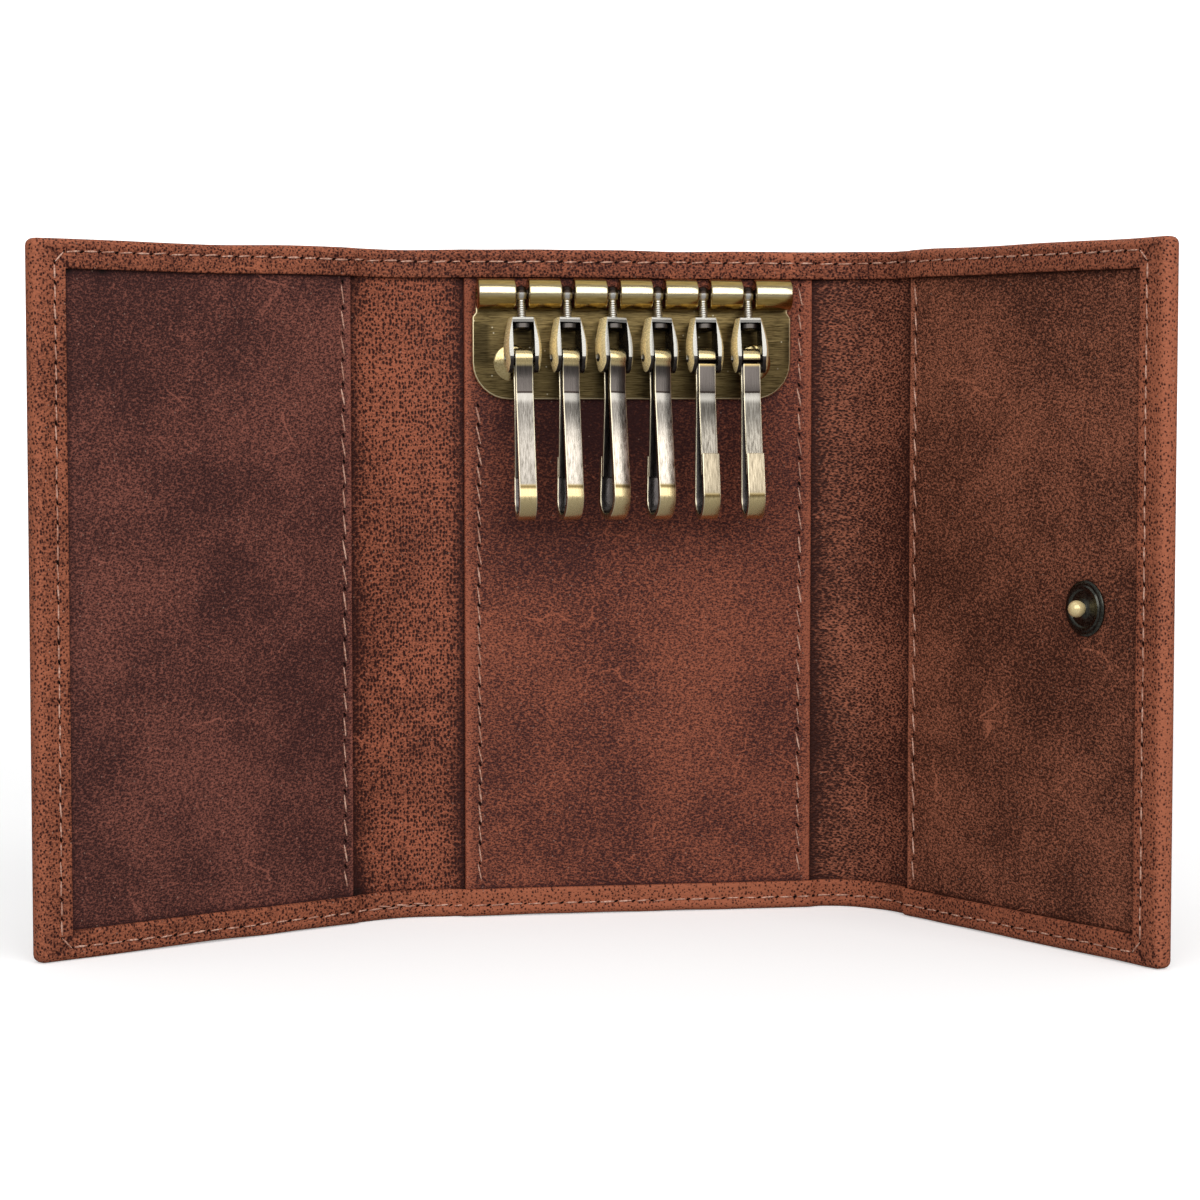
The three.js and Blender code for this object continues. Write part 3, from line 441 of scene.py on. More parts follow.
# %% Strip finish
def strip_finish(name, light, dark, brass, neck_colour, inner_colour, tip_share):
    made = brushed_metal(name, light, dark, (1.0, 1.0, 0.05), 0.2, 0.34, 5.0)
    finish, tree, shader, place, colour = made
    inner = node(tree, "Attribute", attribute_name="inner").outputs["Fac"]
    axes = node(tree, "SeparateXYZ", {0: place}).outputs
    edge = eased(tree, reckon(tree, "ABSOLUTE", axes["X"]), 1.2, 1.34)
    roll = eased(tree, axes["Z"], -1.6, -0.9)
    neck = reckon(tree, "SUBTRACT", eased(tree, axes["Z"], -5.62, -5.5), roll)
    height = reckon(tree, "SUBTRACT", axes["Z"], eased(tree, axes["Y"], -0.5, 0.5, 1.6, 0.0))
    bend = eased(tree, height, -21.9, -22.4)
    band = reckon(tree, "MULTIPLY", bend, eased(tree, height, -23.0, -22.5))
    # Painted shade on the upper leg, a share for each hook.
    dulled = node(tree, "Attribute", attribute_name="dulled").outputs["Fac"]
    upper_darkening = reckon(tree, "MULTIPLY", dulled, eased(tree, axes["Z"], -12.0, -8.0))
    colour = mixed(tree, upper_darkening, colour, (0.42, 0.42, 0.42, 1.0), "MULTIPLY")
    # The neck is painted dark, a painted reflection.
    colour = mixed(tree, neck, colour, neck_colour)
    colour = mixed(tree, roll, colour, brass)
    # A dark step of painted shade at the kink, and a painted highlight below it.
    step = reckon(tree, "MULTIPLY", eased(tree, axes["Z"], -5.8, -5.65), eased(tree, axes["Z"], -5.4, -5.5))
    colour = mixed(tree, step, colour, tone(48, 40, 36))
    flash = reckon(tree, "MULTIPLY", eased(tree, axes["Z"], -7.6, -6.6), eased(tree, axes["Z"], -5.7, -5.85))
    colour = mixed(tree, reckon(tree, "MULTIPLY", flash, 0.3), colour, tone(224, 219, 208))
    # Painted light on the lower leg, a share for each hook.
    brightened = node(tree, "Attribute", attribute_name="brightened").outputs["Fac"]
    lightened = reckon(tree, "MULTIPLY", brightened, eased(tree, axes["Z"], -9.0, -15.0))
    colour = mixed(tree, lightened, colour, (2.6, 2.55, 2.45, 1.0), "MULTIPLY")
    tip = reckon(tree, "MULTIPLY", eased(tree, axes["Y"], 0.6, 1.0), eased(tree, axes["Z"], -14.0, -15.0))
    colour = mixed(tree, reckon(tree, "MULTIPLY", tip, tip_share), colour, tone(236, 229, 210), "MULTIPLY")
    colour = mixed(tree, reckon(tree, "MULTIPLY", bend, 0.9), colour, brass)
    # A dark line of painted reflection at the top of the bend.
    colour = mixed(tree, reckon(tree, "MULTIPLY", band, 0.85), colour, tone(86, 66, 28))
    # The inner side is painted darker, painted shade.
    colour = mixed(tree, inner, colour, inner_colour)
    # Pale edges: the brass tone, and a painted highlight along them.
    colour = mixed(tree, reckon(tree, "MULTIPLY", edge, 0.8), colour, tone(234, 222, 190))
    return close_finish((finish, tree, shader, place, colour))


strip_steel = strip_finish("strip_steel", tone(158, 152, 144), tone(94, 89, 82), tone(228, 206, 152),
                           tone(88, 82, 78), tone(96, 91, 89), 1.0)
gate_steel = strip_finish("gate_steel", tone(150, 145, 136), tone(84, 79, 72), tone(190, 164, 108),
                          tone(88, 82, 78), tone(96, 91, 89), 0.0)
print("finishes", strip_steel.name, gate_steel.name)

# %% [markdown]
# The case stands open on three panels. Leather does not fold like a door: between the middle and each side
# panel it runs in one soft curve. So every leather piece is first modelled flat, in a plane where s runs
# across the case, and then stood up by one function. On the panels that function is a rigid turn, and across
# a gusset it follows a smooth curve between the two panels.

# %% From flat leather to the standing case
left_fold = joints["left_gusset_fold"]["pos_m"][0]
right_fold = joints["right_gusset_fold"]["pos_m"][0]
left_corner = Vector(joints["left_panel_fold"]["pos_m"][:2])
right_corner = Vector(joints["right_panel_fold"]["pos_m"][:2])
left_gusset = (left_corner - Vector((left_fold, 0))).length
right_gusset = (right_corner - Vector((right_fold, 0))).length
left_seam = left_fold - left_gusset
right_seam = right_fold + right_gusset
LEFT_WIDTH = 57.3 * MM
RIGHT_WIDTH = 59.6 * MM
LEFT_SWEEP = (0.28, 0.4)
RIGHT_SWEEP = (0.46, 0.34)
left_end = left_seam - LEFT_WIDTH
right_end = right_seam + RIGHT_WIDTH


def turned_in(*folds):
    """How far a side panel stands turned in: as far as its two folds still open."""
    return math.radians(sum(joints[name]["range_deg"][1] for name in folds))


left_turn = turned_in("left_gusset_fold", "left_panel_fold")
right_turn = turned_in("right_gusset_fold", "right_panel_fold")


def walk(side, start, corner, turn, width, beyond, early, late):
    """The point and direction of the sheet at a distance beyond the middle panel's fold."""
    leave = Vector((side, 0))
    arrive = Vector((side * math.cos(turn), -math.sin(turn)))
    if beyond >= width:
        return corner + arrive * (beyond - width), arrive
    reach = (corner - start).length
    first = start + leave * reach * early
    second = corner - arrive * reach * late
    u = beyond / width
    v = 1 - u
    point = start * v ** 3 + first * (3 * v * v * u) + second * (3 * v * u * u) + corner * u ** 3
    direction = (first - start) * v * v + (second - first) * (2 * v * u) + (corner - second) * u * u
    return point, direction.normalized()


def stand(flat):
    s, depth, height = flat
    if s < left_fold:
        side = -1
        start = Vector((left_fold, 0))
        point, along = walk(side, start, left_corner, left_turn, left_gusset, left_fold - s, *LEFT_SWEEP)
    elif s > right_fold:
        side = 1
        start = Vector((right_fold, 0))
        point, along = walk(side, start, right_corner, right_turn, right_gusset, s - right_fold, *RIGHT_SWEEP)
    else:
        return Vector(flat)
    outward = Vector((-along.y, along.x)) * side
    return Vector((point.x + outward.x * depth, point.y + outward.y * depth, height))


print("flat width", round((right_end - left_end) / MM, 1), "mm")

# %% [markdown]
# The cover is one sheet whose top, bottom and outer edges are turned in over the panels and stitched down.
# The shape is a thin box with open ends: its front is cut away except for the hem, its long edges are
# bevelled round, and then the sheet gets its thickness. Four such lengths make the whole cover, so that each
# one crosses a single fold.

# %% Blocks and cuts
CASE_HEIGHT = 108 * MM


def block(bm, low, high):
    made = bmesh.ops.create_cube(bm, size=1.0)["verts"]
    low = Vector(low)
    high = Vector(high)
    bmesh.ops.scale(bm, vec=high - low, verts=made)
    bmesh.ops.translate(bm, vec=(low + high) / 2, verts=made)
    return made


def cut(bm, point, direction):
    geometry = bm.verts[:] + bm.edges[:] + bm.faces[:]
    bmesh.ops.bisect_plane(bm, geom=geometry, dist=1e-6, plane_co=point, plane_no=direction)


def soften(bm, edges, width, segments):
    made = bmesh.ops.bevel(bm, geom=edges, offset=width, offset_type="OFFSET", segments=segments, profile=0.5,
                           affect="EDGES", material=-1, clamp_overlap=True)
    return made["faces"]


def sharp_edges(bm, degrees=40):
    limit = math.radians(degrees)
    return [edge for edge in bm.edges if len(edge.link_faces) == 2 and edge.calc_face_angle() > limit]


def finish_piece(name, bm, finish, sharp=40):
    mesh = bpy.data.meshes.new(name)
    bm.to_mesh(mesh)
    bm.free()
    mesh.shade_smooth()
    mesh.set_sharp_from_angle(angle=math.radians(sharp))
    mesh.materials.append(finish)
    piece = bpy.data.objects.new(name, mesh)
    bpy.context.scene.collection.objects.link(piece)
    return piece


def steps(low, high, pace):
    count = max(1, round((high - low) / pace))
    return [low + (high - low) * i / count for i in range(1, count)]


print("case height", CASE_HEIGHT / MM, "mm")

# %% [markdown]
# Over the panels the hem lies on a second sheet, and over the gussets it drops onto the lining. The drop is
# soft. Near the stitches the thread pulls the hem down into a shallow groove, and handling has left the
# edges a little wavy. The waves come from Blender's own noise, which gives the same result every time.

# %% How the hem lies
HEM_FACE = -1.8 * MM
HEM_STEP = 0.9 * MM
MIDDLE_EDGE = 28.65 * MM
STITCH_DROP = 2.0 * MM
LAP = 0.3 * MM
LEFT_LINE = 1.7
RIGHT_LINE = 1.9


def on_gusset(s):
    """1 over a gusset, 0 over a panel, with a soft change between."""
    def rise(from_s, to_s):
        share = min(1, max(0, (s - from_s) / (to_s - from_s)))
        return share * share * (3 - 2 * share)
    soft = 1.4 * MM
    left = rise(left_seam - LAP, left_seam + soft) - rise(-MIDDLE_EDGE - soft, -MIDDLE_EDGE)
    right = rise(MIDDLE_EDGE, MIDDLE_EDGE + soft) - rise(right_seam - soft, right_seam + LAP)
    return min(1, max(0, left)) + min(1, max(0, right))


def edge_distance(s, height):
    return min(height, CASE_HEIGHT - height, s - left_end - LEFT_LINE * MM, right_end - RIGHT_LINE * MM - s)


def mitre(s, height):
    """1 on the slanting line where two hems meet in an outer corner, 0 beside it."""
    aside = min(s - left_end - LEFT_LINE * MM, right_end - RIGHT_LINE * MM - s)
    above = min(height, CASE_HEIGHT - height)
    if max(aside, above) > 4.6 * MM:
        return 0
    return math.exp(-((aside - above) / (0.3 * MM)) ** 2)


def hem_depth(s, height):
    """The depth of the hem's face at a flat point."""
    pulled = (edge_distance(s, height) - STITCH_DROP) / (0.55 * MM)
    groove = 0.16 * MM * math.exp(-pulled * pulled) + 0.14 * MM * mitre(s, height)
    ripple = 0.07 * MM * noise.noise(Vector((s * 160, height * 160, 3.0)))
    return HEM_FACE + HEM_STEP * on_gusset(s) + groove + ripple


def drape(flat):
    s, depth, height = flat
    if depth < -1.45 * MM:
        depth = depth - HEM_FACE + hem_depth(s, height)
    elif depth < 0:
        depth += HEM_STEP * on_gusset(s) * min(1, -depth / MM)
    wave = noise.noise(Vector((s * 75, 0.4, 7.0))) * 0.3 * MM
    top = max(0, (height - 90 * MM) / (18 * MM)) ** 2
    low = max(0, (14 * MM - height) / (14 * MM)) ** 2
    height += wave * top - 0.1 * MM * top + abs(wave) * low
    return (s, depth, height)


print("hem depth over a panel", round(hem_depth(0, 4 * MM) / MM, 2), "mm")

# %% [markdown]
# Each length of cover starts as a block with open ends. A window is cut out of its front, which leaves the hem.
# The cut edges of the hem get a small bevel of their own, and cross lines, close together on the gussets, let
# the sheet bend.

# %% Cover blocks
HEM = 4.5 * MM
SIDE_HEM = 5.5 * MM
COVER_BACK = 1.5 * MM
COVER_THICK = 0.8 * MM
NEAR = 0.02 * MM
EDGE_ROUND = 1.15


def hem_line(low, high, outer):
    """Where the upright hem of an outer length ends."""
    return high - SIDE_HEM if outer > 0 else low + SIDE_HEM


def cover_length(low, high, outer):
    bm = bmesh.new()
    block(bm, (low, HEM_FACE, 0), (high, COVER_BACK, CASE_HEIGHT))
    ends = [face for face in bm.faces if abs(face.normal.x) > 0.9 and face.normal.x * outer < 0.5]
    bmesh.ops.delete(bm, geom=ends, context="FACES_ONLY")
    inner = hem_line(low, high, outer)
    cut(bm, (0, 0, HEM), (0, 0, 1))
    cut(bm, (0, 0, CASE_HEIGHT - HEM), (0, 0, 1))
    if outer:
        cut(bm, (inner, 0, 0), (1, 0, 0))
    window = []
    for face in bm.faces:
        middle = face.calc_center_median()
        in_window = HEM < middle.z < CASE_HEIGHT - HEM and (not outer or (middle.x - inner) * outer < 0)
        if face.normal.y < -0.9 and in_window:
            window.append(face)
    bmesh.ops.delete(bm, geom=window, context="FACES")
    soften(bm, sharp_edges(bm), EDGE_ROUND * MM, 4)
    bmesh.ops.recalc_face_normals(bm, faces=bm.faces)
    bmesh.ops.solidify(bm, geom=bm.faces[:], thickness=COVER_THICK)
    return bm


def raw_edges(bm, outer, low, high):
    inner = hem_line(low, high, outer)
    found = []
    for edge in sharp_edges(bm):
        a, b = (vert.co for vert in edge.verts)
        front = max(abs(a.y - HEM_FACE), abs(b.y - HEM_FACE)) < NEAR
        at_hem = any(max(abs(a.z - z), abs(b.z - z)) < NEAR for z in (HEM, CASE_HEIGHT - HEM))
        at_side = outer and max(abs(a.x - inner), abs(b.x - inner)) < NEAR
        if front and (at_hem or at_side):
            found.append(edge)
    return found


def bend_lines(low, high):
    """Where the sheet needs cross lines: close together on the gussets, wide apart on the panels."""
    lines = steps(low, high, 3.0 * MM)
    for start, stop in ((left_seam - 2 * MM, -MIDDLE_EDGE + MM), (MIDDLE_EDGE - MM, right_seam + 2 * MM)):
        start, stop = max(start, low), min(stop, high)
        if stop > start:
            lines = [s for s in lines if not start < s < stop] + steps(start, stop, 0.6 * MM)
    return lines


print("cross lines on the whole cover", len(bend_lines(left_end, right_end)))

# %% [markdown]
# Leather keeps its pores when it is bent, so the pattern is fixed while the sheet is flat: each point keeps where
# it lay, also over the turned edge. In the same way it keeps its wear and painted light, and how much wax, glue
# and painted shade it holds. Only then is the sheet stood up.

# %% Notes on the flat sheet
BACK_TURN = 2.15


def over_edge(depth):
    """How far a point lies over the turned edge: slowly round the front, faster where the back turns away."""
    down = depth - HEM_FACE / MM
    return 0.6 * min(down, EDGE_ROUND) + max(0, min(down - EDGE_ROUND, 1.0)) + 2.6 * max(0, down - BACK_TURN)


def note_place(bm):
    """Keep where each point lies on the flat sheet, in millimetres, for the leather's pattern."""
    layer = bm.verts.layers.float_vector.new("flat_place")
    for vert in bm.verts:
        s, depth, height = vert.co / MM
        round_edge = over_edge(depth)
        to_side = min(s - left_end / MM, right_end / MM - s)
        to_end = min(height, CASE_HEIGHT / MM - height)
        sideways = max(0, min(1, 0.5 + (to_end - to_side) / 12))
        aside = sideways * max(-1, min(1, s / 45))
        upward = (1 - sideways) * max(-1, min(1, (height - 54) / 45))
        vert[layer] = (s + aside * round_edge, height + upward * round_edge, 0)


def note_value(bm, name, value):
    layer = bm.verts.layers.float.new(name)
    for vert in bm.verts:
        vert[layer] = value(*vert.co)


def stand_up(bm, shape=drape):
    for vert in bm.verts:
        vert.co = stand(shape(vert.co))


def hem_shade(s, depth, height):
    """Wax in the mitre line, and painted shade along the top hem over the middle panel."""
    # Painted shade on the top hem.
    top = 0.2 * math.exp(-(s / (60 * MM)) ** 4) if height > CASE_HEIGHT - HEM - MM else 0
    return top + 0.7 * mitre(s, height) if depth < -MM else 0


def turned_edge(s, depth, height):
    """Wear on the turned edge of the cover. Painted light lightens the foot of the middle, as if lit from below,
    and the right panel's hem.
    """
    away = min(height, CASE_HEIGHT - height, s - left_end, right_end - s)
    # Painted light: the foot of the middle as if lit from below, and the right panel's cover as if lit from the
    # right.
    painted_light = 0.45 * math.exp(-(s / (42 * MM)) ** 4) if height < 6 * MM and depth < 0 else 0
    painted_light += 0.14 if s > right_seam else 0
    return painted_light + 0.3 * max(0, 1 - away / (1.5 * MM))


print("wear on the left edge", round(turned_edge(left_end, 0, 50 * MM), 2))

# %% [markdown]
# Four lengths make the cover. Two joins lie in the middle of the gussets and one in the middle of the case, so
# each length crosses a single fold.

# %% Cover lengths
LEFT_JOIN = -40.8
RIGHT_JOIN = 37.9
CLEAR = 0.5
GROOVE_CUTS = (1.4, 1.7, 2.0, 2.3, 2.6, 2.95, 3.3, 3.9)
zones = {
    "left_side": (left_end, LEFT_JOIN * MM, -1,
                  "left_panel", "left_gusset", left_seam, (LEFT_JOIN - CLEAR) * MM),
    "left_middle": (LEFT_JOIN * MM, 0.0, 0,
                    "left_gusset", "case", (LEFT_JOIN + CLEAR) * MM, left_fold),
    "right_middle": (0.0, RIGHT_JOIN * MM, 0,
                     "case", "right_gusset", right_fold, (RIGHT_JOIN - CLEAR) * MM),
    "right_side": (RIGHT_JOIN * MM, right_end, 1,
                   "right_gusset", "right_panel", (RIGHT_JOIN + CLEAR) * MM, right_seam),
}


def follow(piece, zone):
    low, high, outer, first, second, start, stop = zones[zone]
    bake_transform(piece)


covers = {}
for zone, (low, high, outer, *rest) in zones.items():
    bm = cover_length(low, high, outer)
    soften(bm, raw_edges(bm, outer, low, high), 0.2 * MM, 2)
    for s in bend_lines(low, high):
        cut(bm, (s, 0, 0), (1, 0, 0))
    for drop in GROOVE_CUTS:
        cut(bm, (0, 0, drop * MM), (0, 0, 1))
        cut(bm, (0, 0, CASE_HEIGHT - drop * MM), (0, 0, 1))
        if outer:
            edge = high - (drop + RIGHT_LINE) * MM if outer > 0 else low + (drop + LEFT_LINE) * MM
            cut(bm, (edge, 0, 0), (1, 0, 0))
    for height in steps(HEM, CASE_HEIGHT - HEM, 6 * MM):
        cut(bm, (0, 0, height), (0, 0, 1))
    note_place(bm)
    note_value(bm, "worn", turned_edge)
    note_value(bm, "shaded", hem_shade)
    stand_up(bm)
    covers[zone] = finish_piece("cover_" + zone, bm, cover_leather)
    follow(covers[zone], zone)
    print("cover", zone, len(covers[zone].data.polygons), "faces")

# %% [markdown]
# The lining is the same hide, laid inside the cover. It shows only across the gussets, between the panels.

# %% Lining lengths
def spot(s, height, at, wide, tall):
    return math.exp(-((s - at[0]) / (wide * MM)) ** 2 - ((height - at[1]) / (tall * MM)) ** 2)


def under_hem(s, depth, height):
    """A patchy line of painted shadow under the hem's cut edge, and two spots of glue near the top left corner.
    """
    gap = min(height - HEM, CASE_HEIGHT - HEM - height, s - left_end - SIDE_HEM, right_end - SIDE_HEM - s)
    # Painted shadow along the hem's edge, patchy.
    patchy = 0.75 + 0.5 * noise.noise(Vector((s * 220, height * 220, 5.0)))
    top = CASE_HEIGHT - HEM - 0.4 * MM
    glue = 1.6 * spot(s, height, (left_end + SIDE_HEM + 0.7 * MM, top), 1.0, 0.6)
    glue += 1.6 * spot(s, height, (left_end + SIDE_HEM + 6.6 * MM, top), 1.0, 0.5)
    return glue + patchy * math.exp(-max(0, gap) / (0.4 * MM))


def beside_panel(s, depth, height):
    """Beside a panel's edge the lining is darker, partly dark wax and partly painted shade. It also takes half of
    what lies under the hem, and is darkest in one corner.
    """
    edges = (left_seam - LAP, -MIDDLE_EDGE, MIDDLE_EDGE, right_seam + LAP)
    gap = min(abs(s - edge) for edge in edges)
    corner = spot(s, height, (left_seam + 1.0 * MM, HEM + 0.7 * MM), 1.2, 0.9)
    # Partly dark wax, partly painted shade beside the panel's edge.
    return 1.1 * math.exp(-gap / (1.35 * MM)) + corner + 0.5 * under_hem(s, depth, height)


SHEET_INSET = 0.9 * MM
LINING_THICK = 0.6 * MM
linings = {}
for zone, (low, high, outer, *rest) in zones.items():
    bm = bmesh.new()
    first = low + (SHEET_INSET if outer < 0 else 0)
    last = high - (SHEET_INSET if outer > 0 else 0)
    block(bm, (first, 0, SHEET_INSET), (last, LINING_THICK, CASE_HEIGHT - SHEET_INSET))
    for s in bend_lines(first, last):
        cut(bm, (s, 0, 0), (1, 0, 0))
    for height in steps(0, CASE_HEIGHT, 6 * MM):
        cut(bm, (0, 0, height), (0, 0, 1))
    for inset in (0.05, 0.4, 0.9, 1.6):
        cut(bm, (0, 0, HEM + inset * MM), (0, 0, 1))
        cut(bm, (0, 0, CASE_HEIGHT - HEM - inset * MM), (0, 0, 1))
    note_place(bm)
    note_value(bm, "shaded", beside_panel)
    stand_up(bm, tuple)
    linings[zone] = finish_piece("lining_" + zone, bm, right_lining if low >= 0 else lining_leather)
    follow(linings[zone], zone)
    print("lining", zone, len(linings[zone].data.polygons), "faces")

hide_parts("cover_left_panel")
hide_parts("cover_left_gusset", "cover_middle")
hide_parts("cover_right_gusset")
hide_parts("cover_right_panel")
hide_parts("lining_left_panel")
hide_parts("lining_left_gusset", "lining_middle")
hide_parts("lining_right_gusset")
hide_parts("lining_right_panel")

# %% [markdown]
# The panels lie on the lining, and a slight unevenness keeps them from looking like board. The panel behind the
# hooks gets painted shade there, where the hooks and the plate shade it.

# %% How the panels lie
PANEL_FACE = -0.9 * MM
SEAM_INSET = 1.5 * MM
HOOK_SEAM_INSET = 2.2 * MM
RUBBED_WIDTH = {"left_panel": 1.1, "case": 1.8, "right_panel": 1.4}
HOOKS = range(1, 7)
hook_x = [joints[f"hook_{n}_swing"]["pos_m"][0] for n in HOOKS]
row_x = (hook_x[0] + hook_x[-1]) / 2


def panel_depth(s, height):
    calm = 0.14 * MM * noise.noise(Vector((s * 60, height * 60, 11.0)))
    return PANEL_FACE + calm - 0.05 * MM


def behind_row(s, depth, height):
    """Painted shade on the leather behind the row of hooks, over the marks under the hem."""
    aside = (s - row_x) / (21 * MM)
    above = (height - 83 * MM) / (9 * MM)
    # Painted shade from the hooks and the plate: a broad band, and more right behind the row.
    around = 0.24 * math.exp(-((height - 72 * MM) / (19 * MM)) ** 4)
    return under_hem(s, depth, height) + around + 0.4 * math.exp(-aside ** 4 - above ** 4)


print("hooks stand at", [round(x / MM, 1) for x in hook_x], "mm")

# %% [markdown]
# Two slip pockets and the panel behind the hooks are single sheets of the darker hide. Their free edges are
# cut, rounded and rubbed lighter, which the finish reads from an attribute of wear. A shallow groove follows
# each seam, where the thread pulls the sheet down.

# %% Panels
def panel_piece(name, low, high, free, body, node_name, finish, seam_inset):
    bm = bmesh.new()
    block(bm, (low, PANEL_FACE, SHEET_INSET), (high, -0.1 * MM, CASE_HEIGHT - SHEET_INSET))
    front = [edge for edge in sharp_edges(bm) if all(abs(v.co.y - PANEL_FACE) < MM / 100 for v in edge.verts)]
    upright = [edge for edge in front if abs(edge.verts[0].co.x - edge.verts[1].co.x) < MM / 100]
    soften(bm, upright, 0.3 * MM, 3)
    for s in steps(low, high, 2.2 * MM):
        cut(bm, (s, 0, 0), (1, 0, 0))
    for side in free:
        edge = low if side < 0 else high
        for inset in (0.6, 1.0, 1.5, 2.0, 2.6):
            cut(bm, (edge - side * inset * MM, 0, 0), (1, 0, 0))
    for height in steps(0, CASE_HEIGHT, 2.4 * MM):
        cut(bm, (0, 0, height), (0, 0, 1))
    for inset in (0.05, 0.3, 0.6, 1.1):
        for height in (HEM + inset * MM, CASE_HEIGHT - HEM - inset * MM):
            cut(bm, (0, 0, height), (0, 0, 1))
        for side in (left_end + SIDE_HEM + inset * MM, right_end - SIDE_HEM - inset * MM):
            cut(bm, (side, 0, 0), (1, 0, 0))
        cut(bm, (left_end + SIDE_HEM + (5.6 + 1.6 * inset) * MM, 0, 0), (1, 0, 0))

    rubbed_width = RUBBED_WIDTH[body] * MM

    def free_gap(s):
        return min(abs(s - (low if side < 0 else high)) for side in free)

    note_place(bm)
    note_value(bm, "shaded", behind_row if body == "case" else under_hem)
    note_value(bm, "worn", lambda s, depth, height: 0.75 * max(0, 1 - free_gap(s) / rubbed_width))
    for vert in bm.verts:
        s, depth, height = vert.co
        gap = free_gap(s)
        if depth < -0.5 * MM:
            pulled = (gap - seam_inset) / (0.5 * MM)
            depth += panel_depth(s, height) - PANEL_FACE + 0.12 * MM * math.exp(-pulled * pulled)
        vert.co = stand((s, depth, height))
    piece = finish_piece(name, bm, finish)
    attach(piece, body)
    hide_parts(node_name)
    print(name, len(piece.data.polygons), "faces")
    return piece


panel_piece("left_pocket_leather", left_end + SHEET_INSET, left_seam - LAP, (1,), "left_panel",
            "left_pocket", left_leather, SEAM_INSET)
panel_piece("hook_panel_leather", -MIDDLE_EDGE, MIDDLE_EDGE, (-1, 1), "case",
            "hook_panel", middle_leather, HOOK_SEAM_INSET)
panel_piece("right_pocket_leather", right_seam + LAP, right_end - SHEET_INSET, (-1,), "right_panel",
            "right_pocket", right_leather, SEAM_INSET)

# %% [markdown]
# The seam is a lockstitch with a pitch of about three millimetres. Each visible stitch is a short, fat bead
# of thread that dives into the leather at both ends. A sphere with a few faces, stretched and laid on the
# sheet, is enough for one stitch, and a seeded random generator makes no two exactly alike.

# %% One stitch
HEM_PITCH = 3.0 * MM
PANEL_PITCH = 3.6 * MM


def stitch_places(path, pitch):
    places = []
    for (s0, z0), (s1, z1) in zip(path, path[1:]):
        run = math.hypot(s1 - s0, z1 - z0)
        count = max(1, round(run / pitch))
        angle = math.atan2(z1 - z0, s1 - s0)
        for i in range(count):
            share = (i + 0.5) / count
            places.append((s0 + (s1 - s0) * share, z0 + (z1 - z0) * share, angle, run / count))
    return places


single = bpy.data.meshes.new("single_bead")


def bead(bm, s, height, depth, angle, half):
    """One small bead, stretched and laid on the sheet, then added to the others."""
    small = bmesh.new()
    bmesh.ops.create_uvsphere(small, u_segments=8, v_segments=5, radius=1.0)
    bmesh.ops.rotate(small, verts=small.verts, cent=(0, 0, 0), matrix=Matrix.Rotation(math.pi / 2, 3, "Y"))
    bmesh.ops.scale(small, verts=small.verts, vec=half)
    bmesh.ops.rotate(small, verts=small.verts, cent=(0, 0, 0), matrix=Matrix.Rotation(-angle, 3, "Y"))
    for vert in small.verts:
        vert.co = stand(vert.co + Vector((s, depth, height)))
    small.to_mesh(single)
    small.free()
    bm.from_mesh(single)


def sew(threads, holes, places, face, dice, slant, length=2.35, fat=0.16):
    for s, height, angle, pitch in places:
        lean = angle + slant + dice.uniform(-0.06, 0.06)
        half = (length / 2 * dice.uniform(0.9, 1.08) * MM, 0.17 * MM, fat * dice.uniform(0.75, 1.15) * MM)
        s += dice.uniform(-0.06, 0.06) * MM
        height += dice.uniform(-0.06, 0.06) * MM
        bead(threads, s, height, face(s, height) - 0.04 * MM, lean, half)
        # A dark patch at each needle hole, painted shade where the hole is.
        hole_s = s + math.cos(angle) * pitch * 0.5
        hole_z = height + math.sin(angle) * pitch * 0.5
        size = dice.uniform(0.85, 1.2)
        bead(holes, hole_s, hole_z, face(hole_s, hole_z), angle + 0.5,
             (0.38 * size * MM, 0.06 * MM, 0.21 * size * MM))


print("30 mm take", len(stitch_places([(0, 0), (30 * MM, 0)], HEM_PITCH)), "stitches")

# %% [markdown]
# One row of stitches runs round the whole case, near the edge, on the inside and on the outside. At the foot of
# the left gusset a few stitches run beside it, where the row was tied off. Each length of thread bends with the
# cover under it.

# %% Hem stitches
left_line = left_end + 3.6 * MM
right_line = right_end - 3.9 * MM
low_line = STITCH_DROP
high_line = CASE_HEIGHT - STITCH_DROP
turn_in = 1.6 * MM
round_the_case = [
    (left_line, low_line + turn_in), (left_line, high_line - turn_in), (left_line + turn_in, high_line),
    (right_line - turn_in, high_line), (right_line, high_line - turn_in), (right_line, low_line + turn_in),
    (right_line - turn_in, low_line), (left_line + turn_in, low_line), (left_line, low_line + turn_in),
]
around = stitch_places(round_the_case, HEM_PITCH)
tie_line = low_line + 0.36 * MM
tied_off = stitch_places([(left_seam + 3.4 * MM, tie_line), (left_seam + 12.6 * MM, tie_line)], HEM_PITCH)
dice = random.Random(11)
for zone, (low, high, outer, *rest) in zones.items():
    threads, holes = bmesh.new(), bmesh.new()
    here = [place for place in around if low <= place[0] < high]
    sew(threads, holes, here, hem_depth, dice, 0.04)
    sew(threads, holes, here, lambda s, height: COVER_BACK + 0.06 * MM, dice, 0.04)
    sew(threads, holes, [place for place in tied_off if low <= place[0] < high], hem_depth, dice, -0.06)
    for label, bm, finish in (("hem_stitches_", threads, thread), ("hem_needle_holes_", holes, needle_hole)):
        piece = finish_piece(label + zone, bm, finish, 80)
        follow(piece, zone)
    print("stitches", zone, len(here))

# %% [markdown]
# The free edges of the panels are sewn down with a longer, slanting stitch. Its line wanders a little, as it
# does when a hand guides the leather under the needle. On the left of the hook panel it ends below the plate.

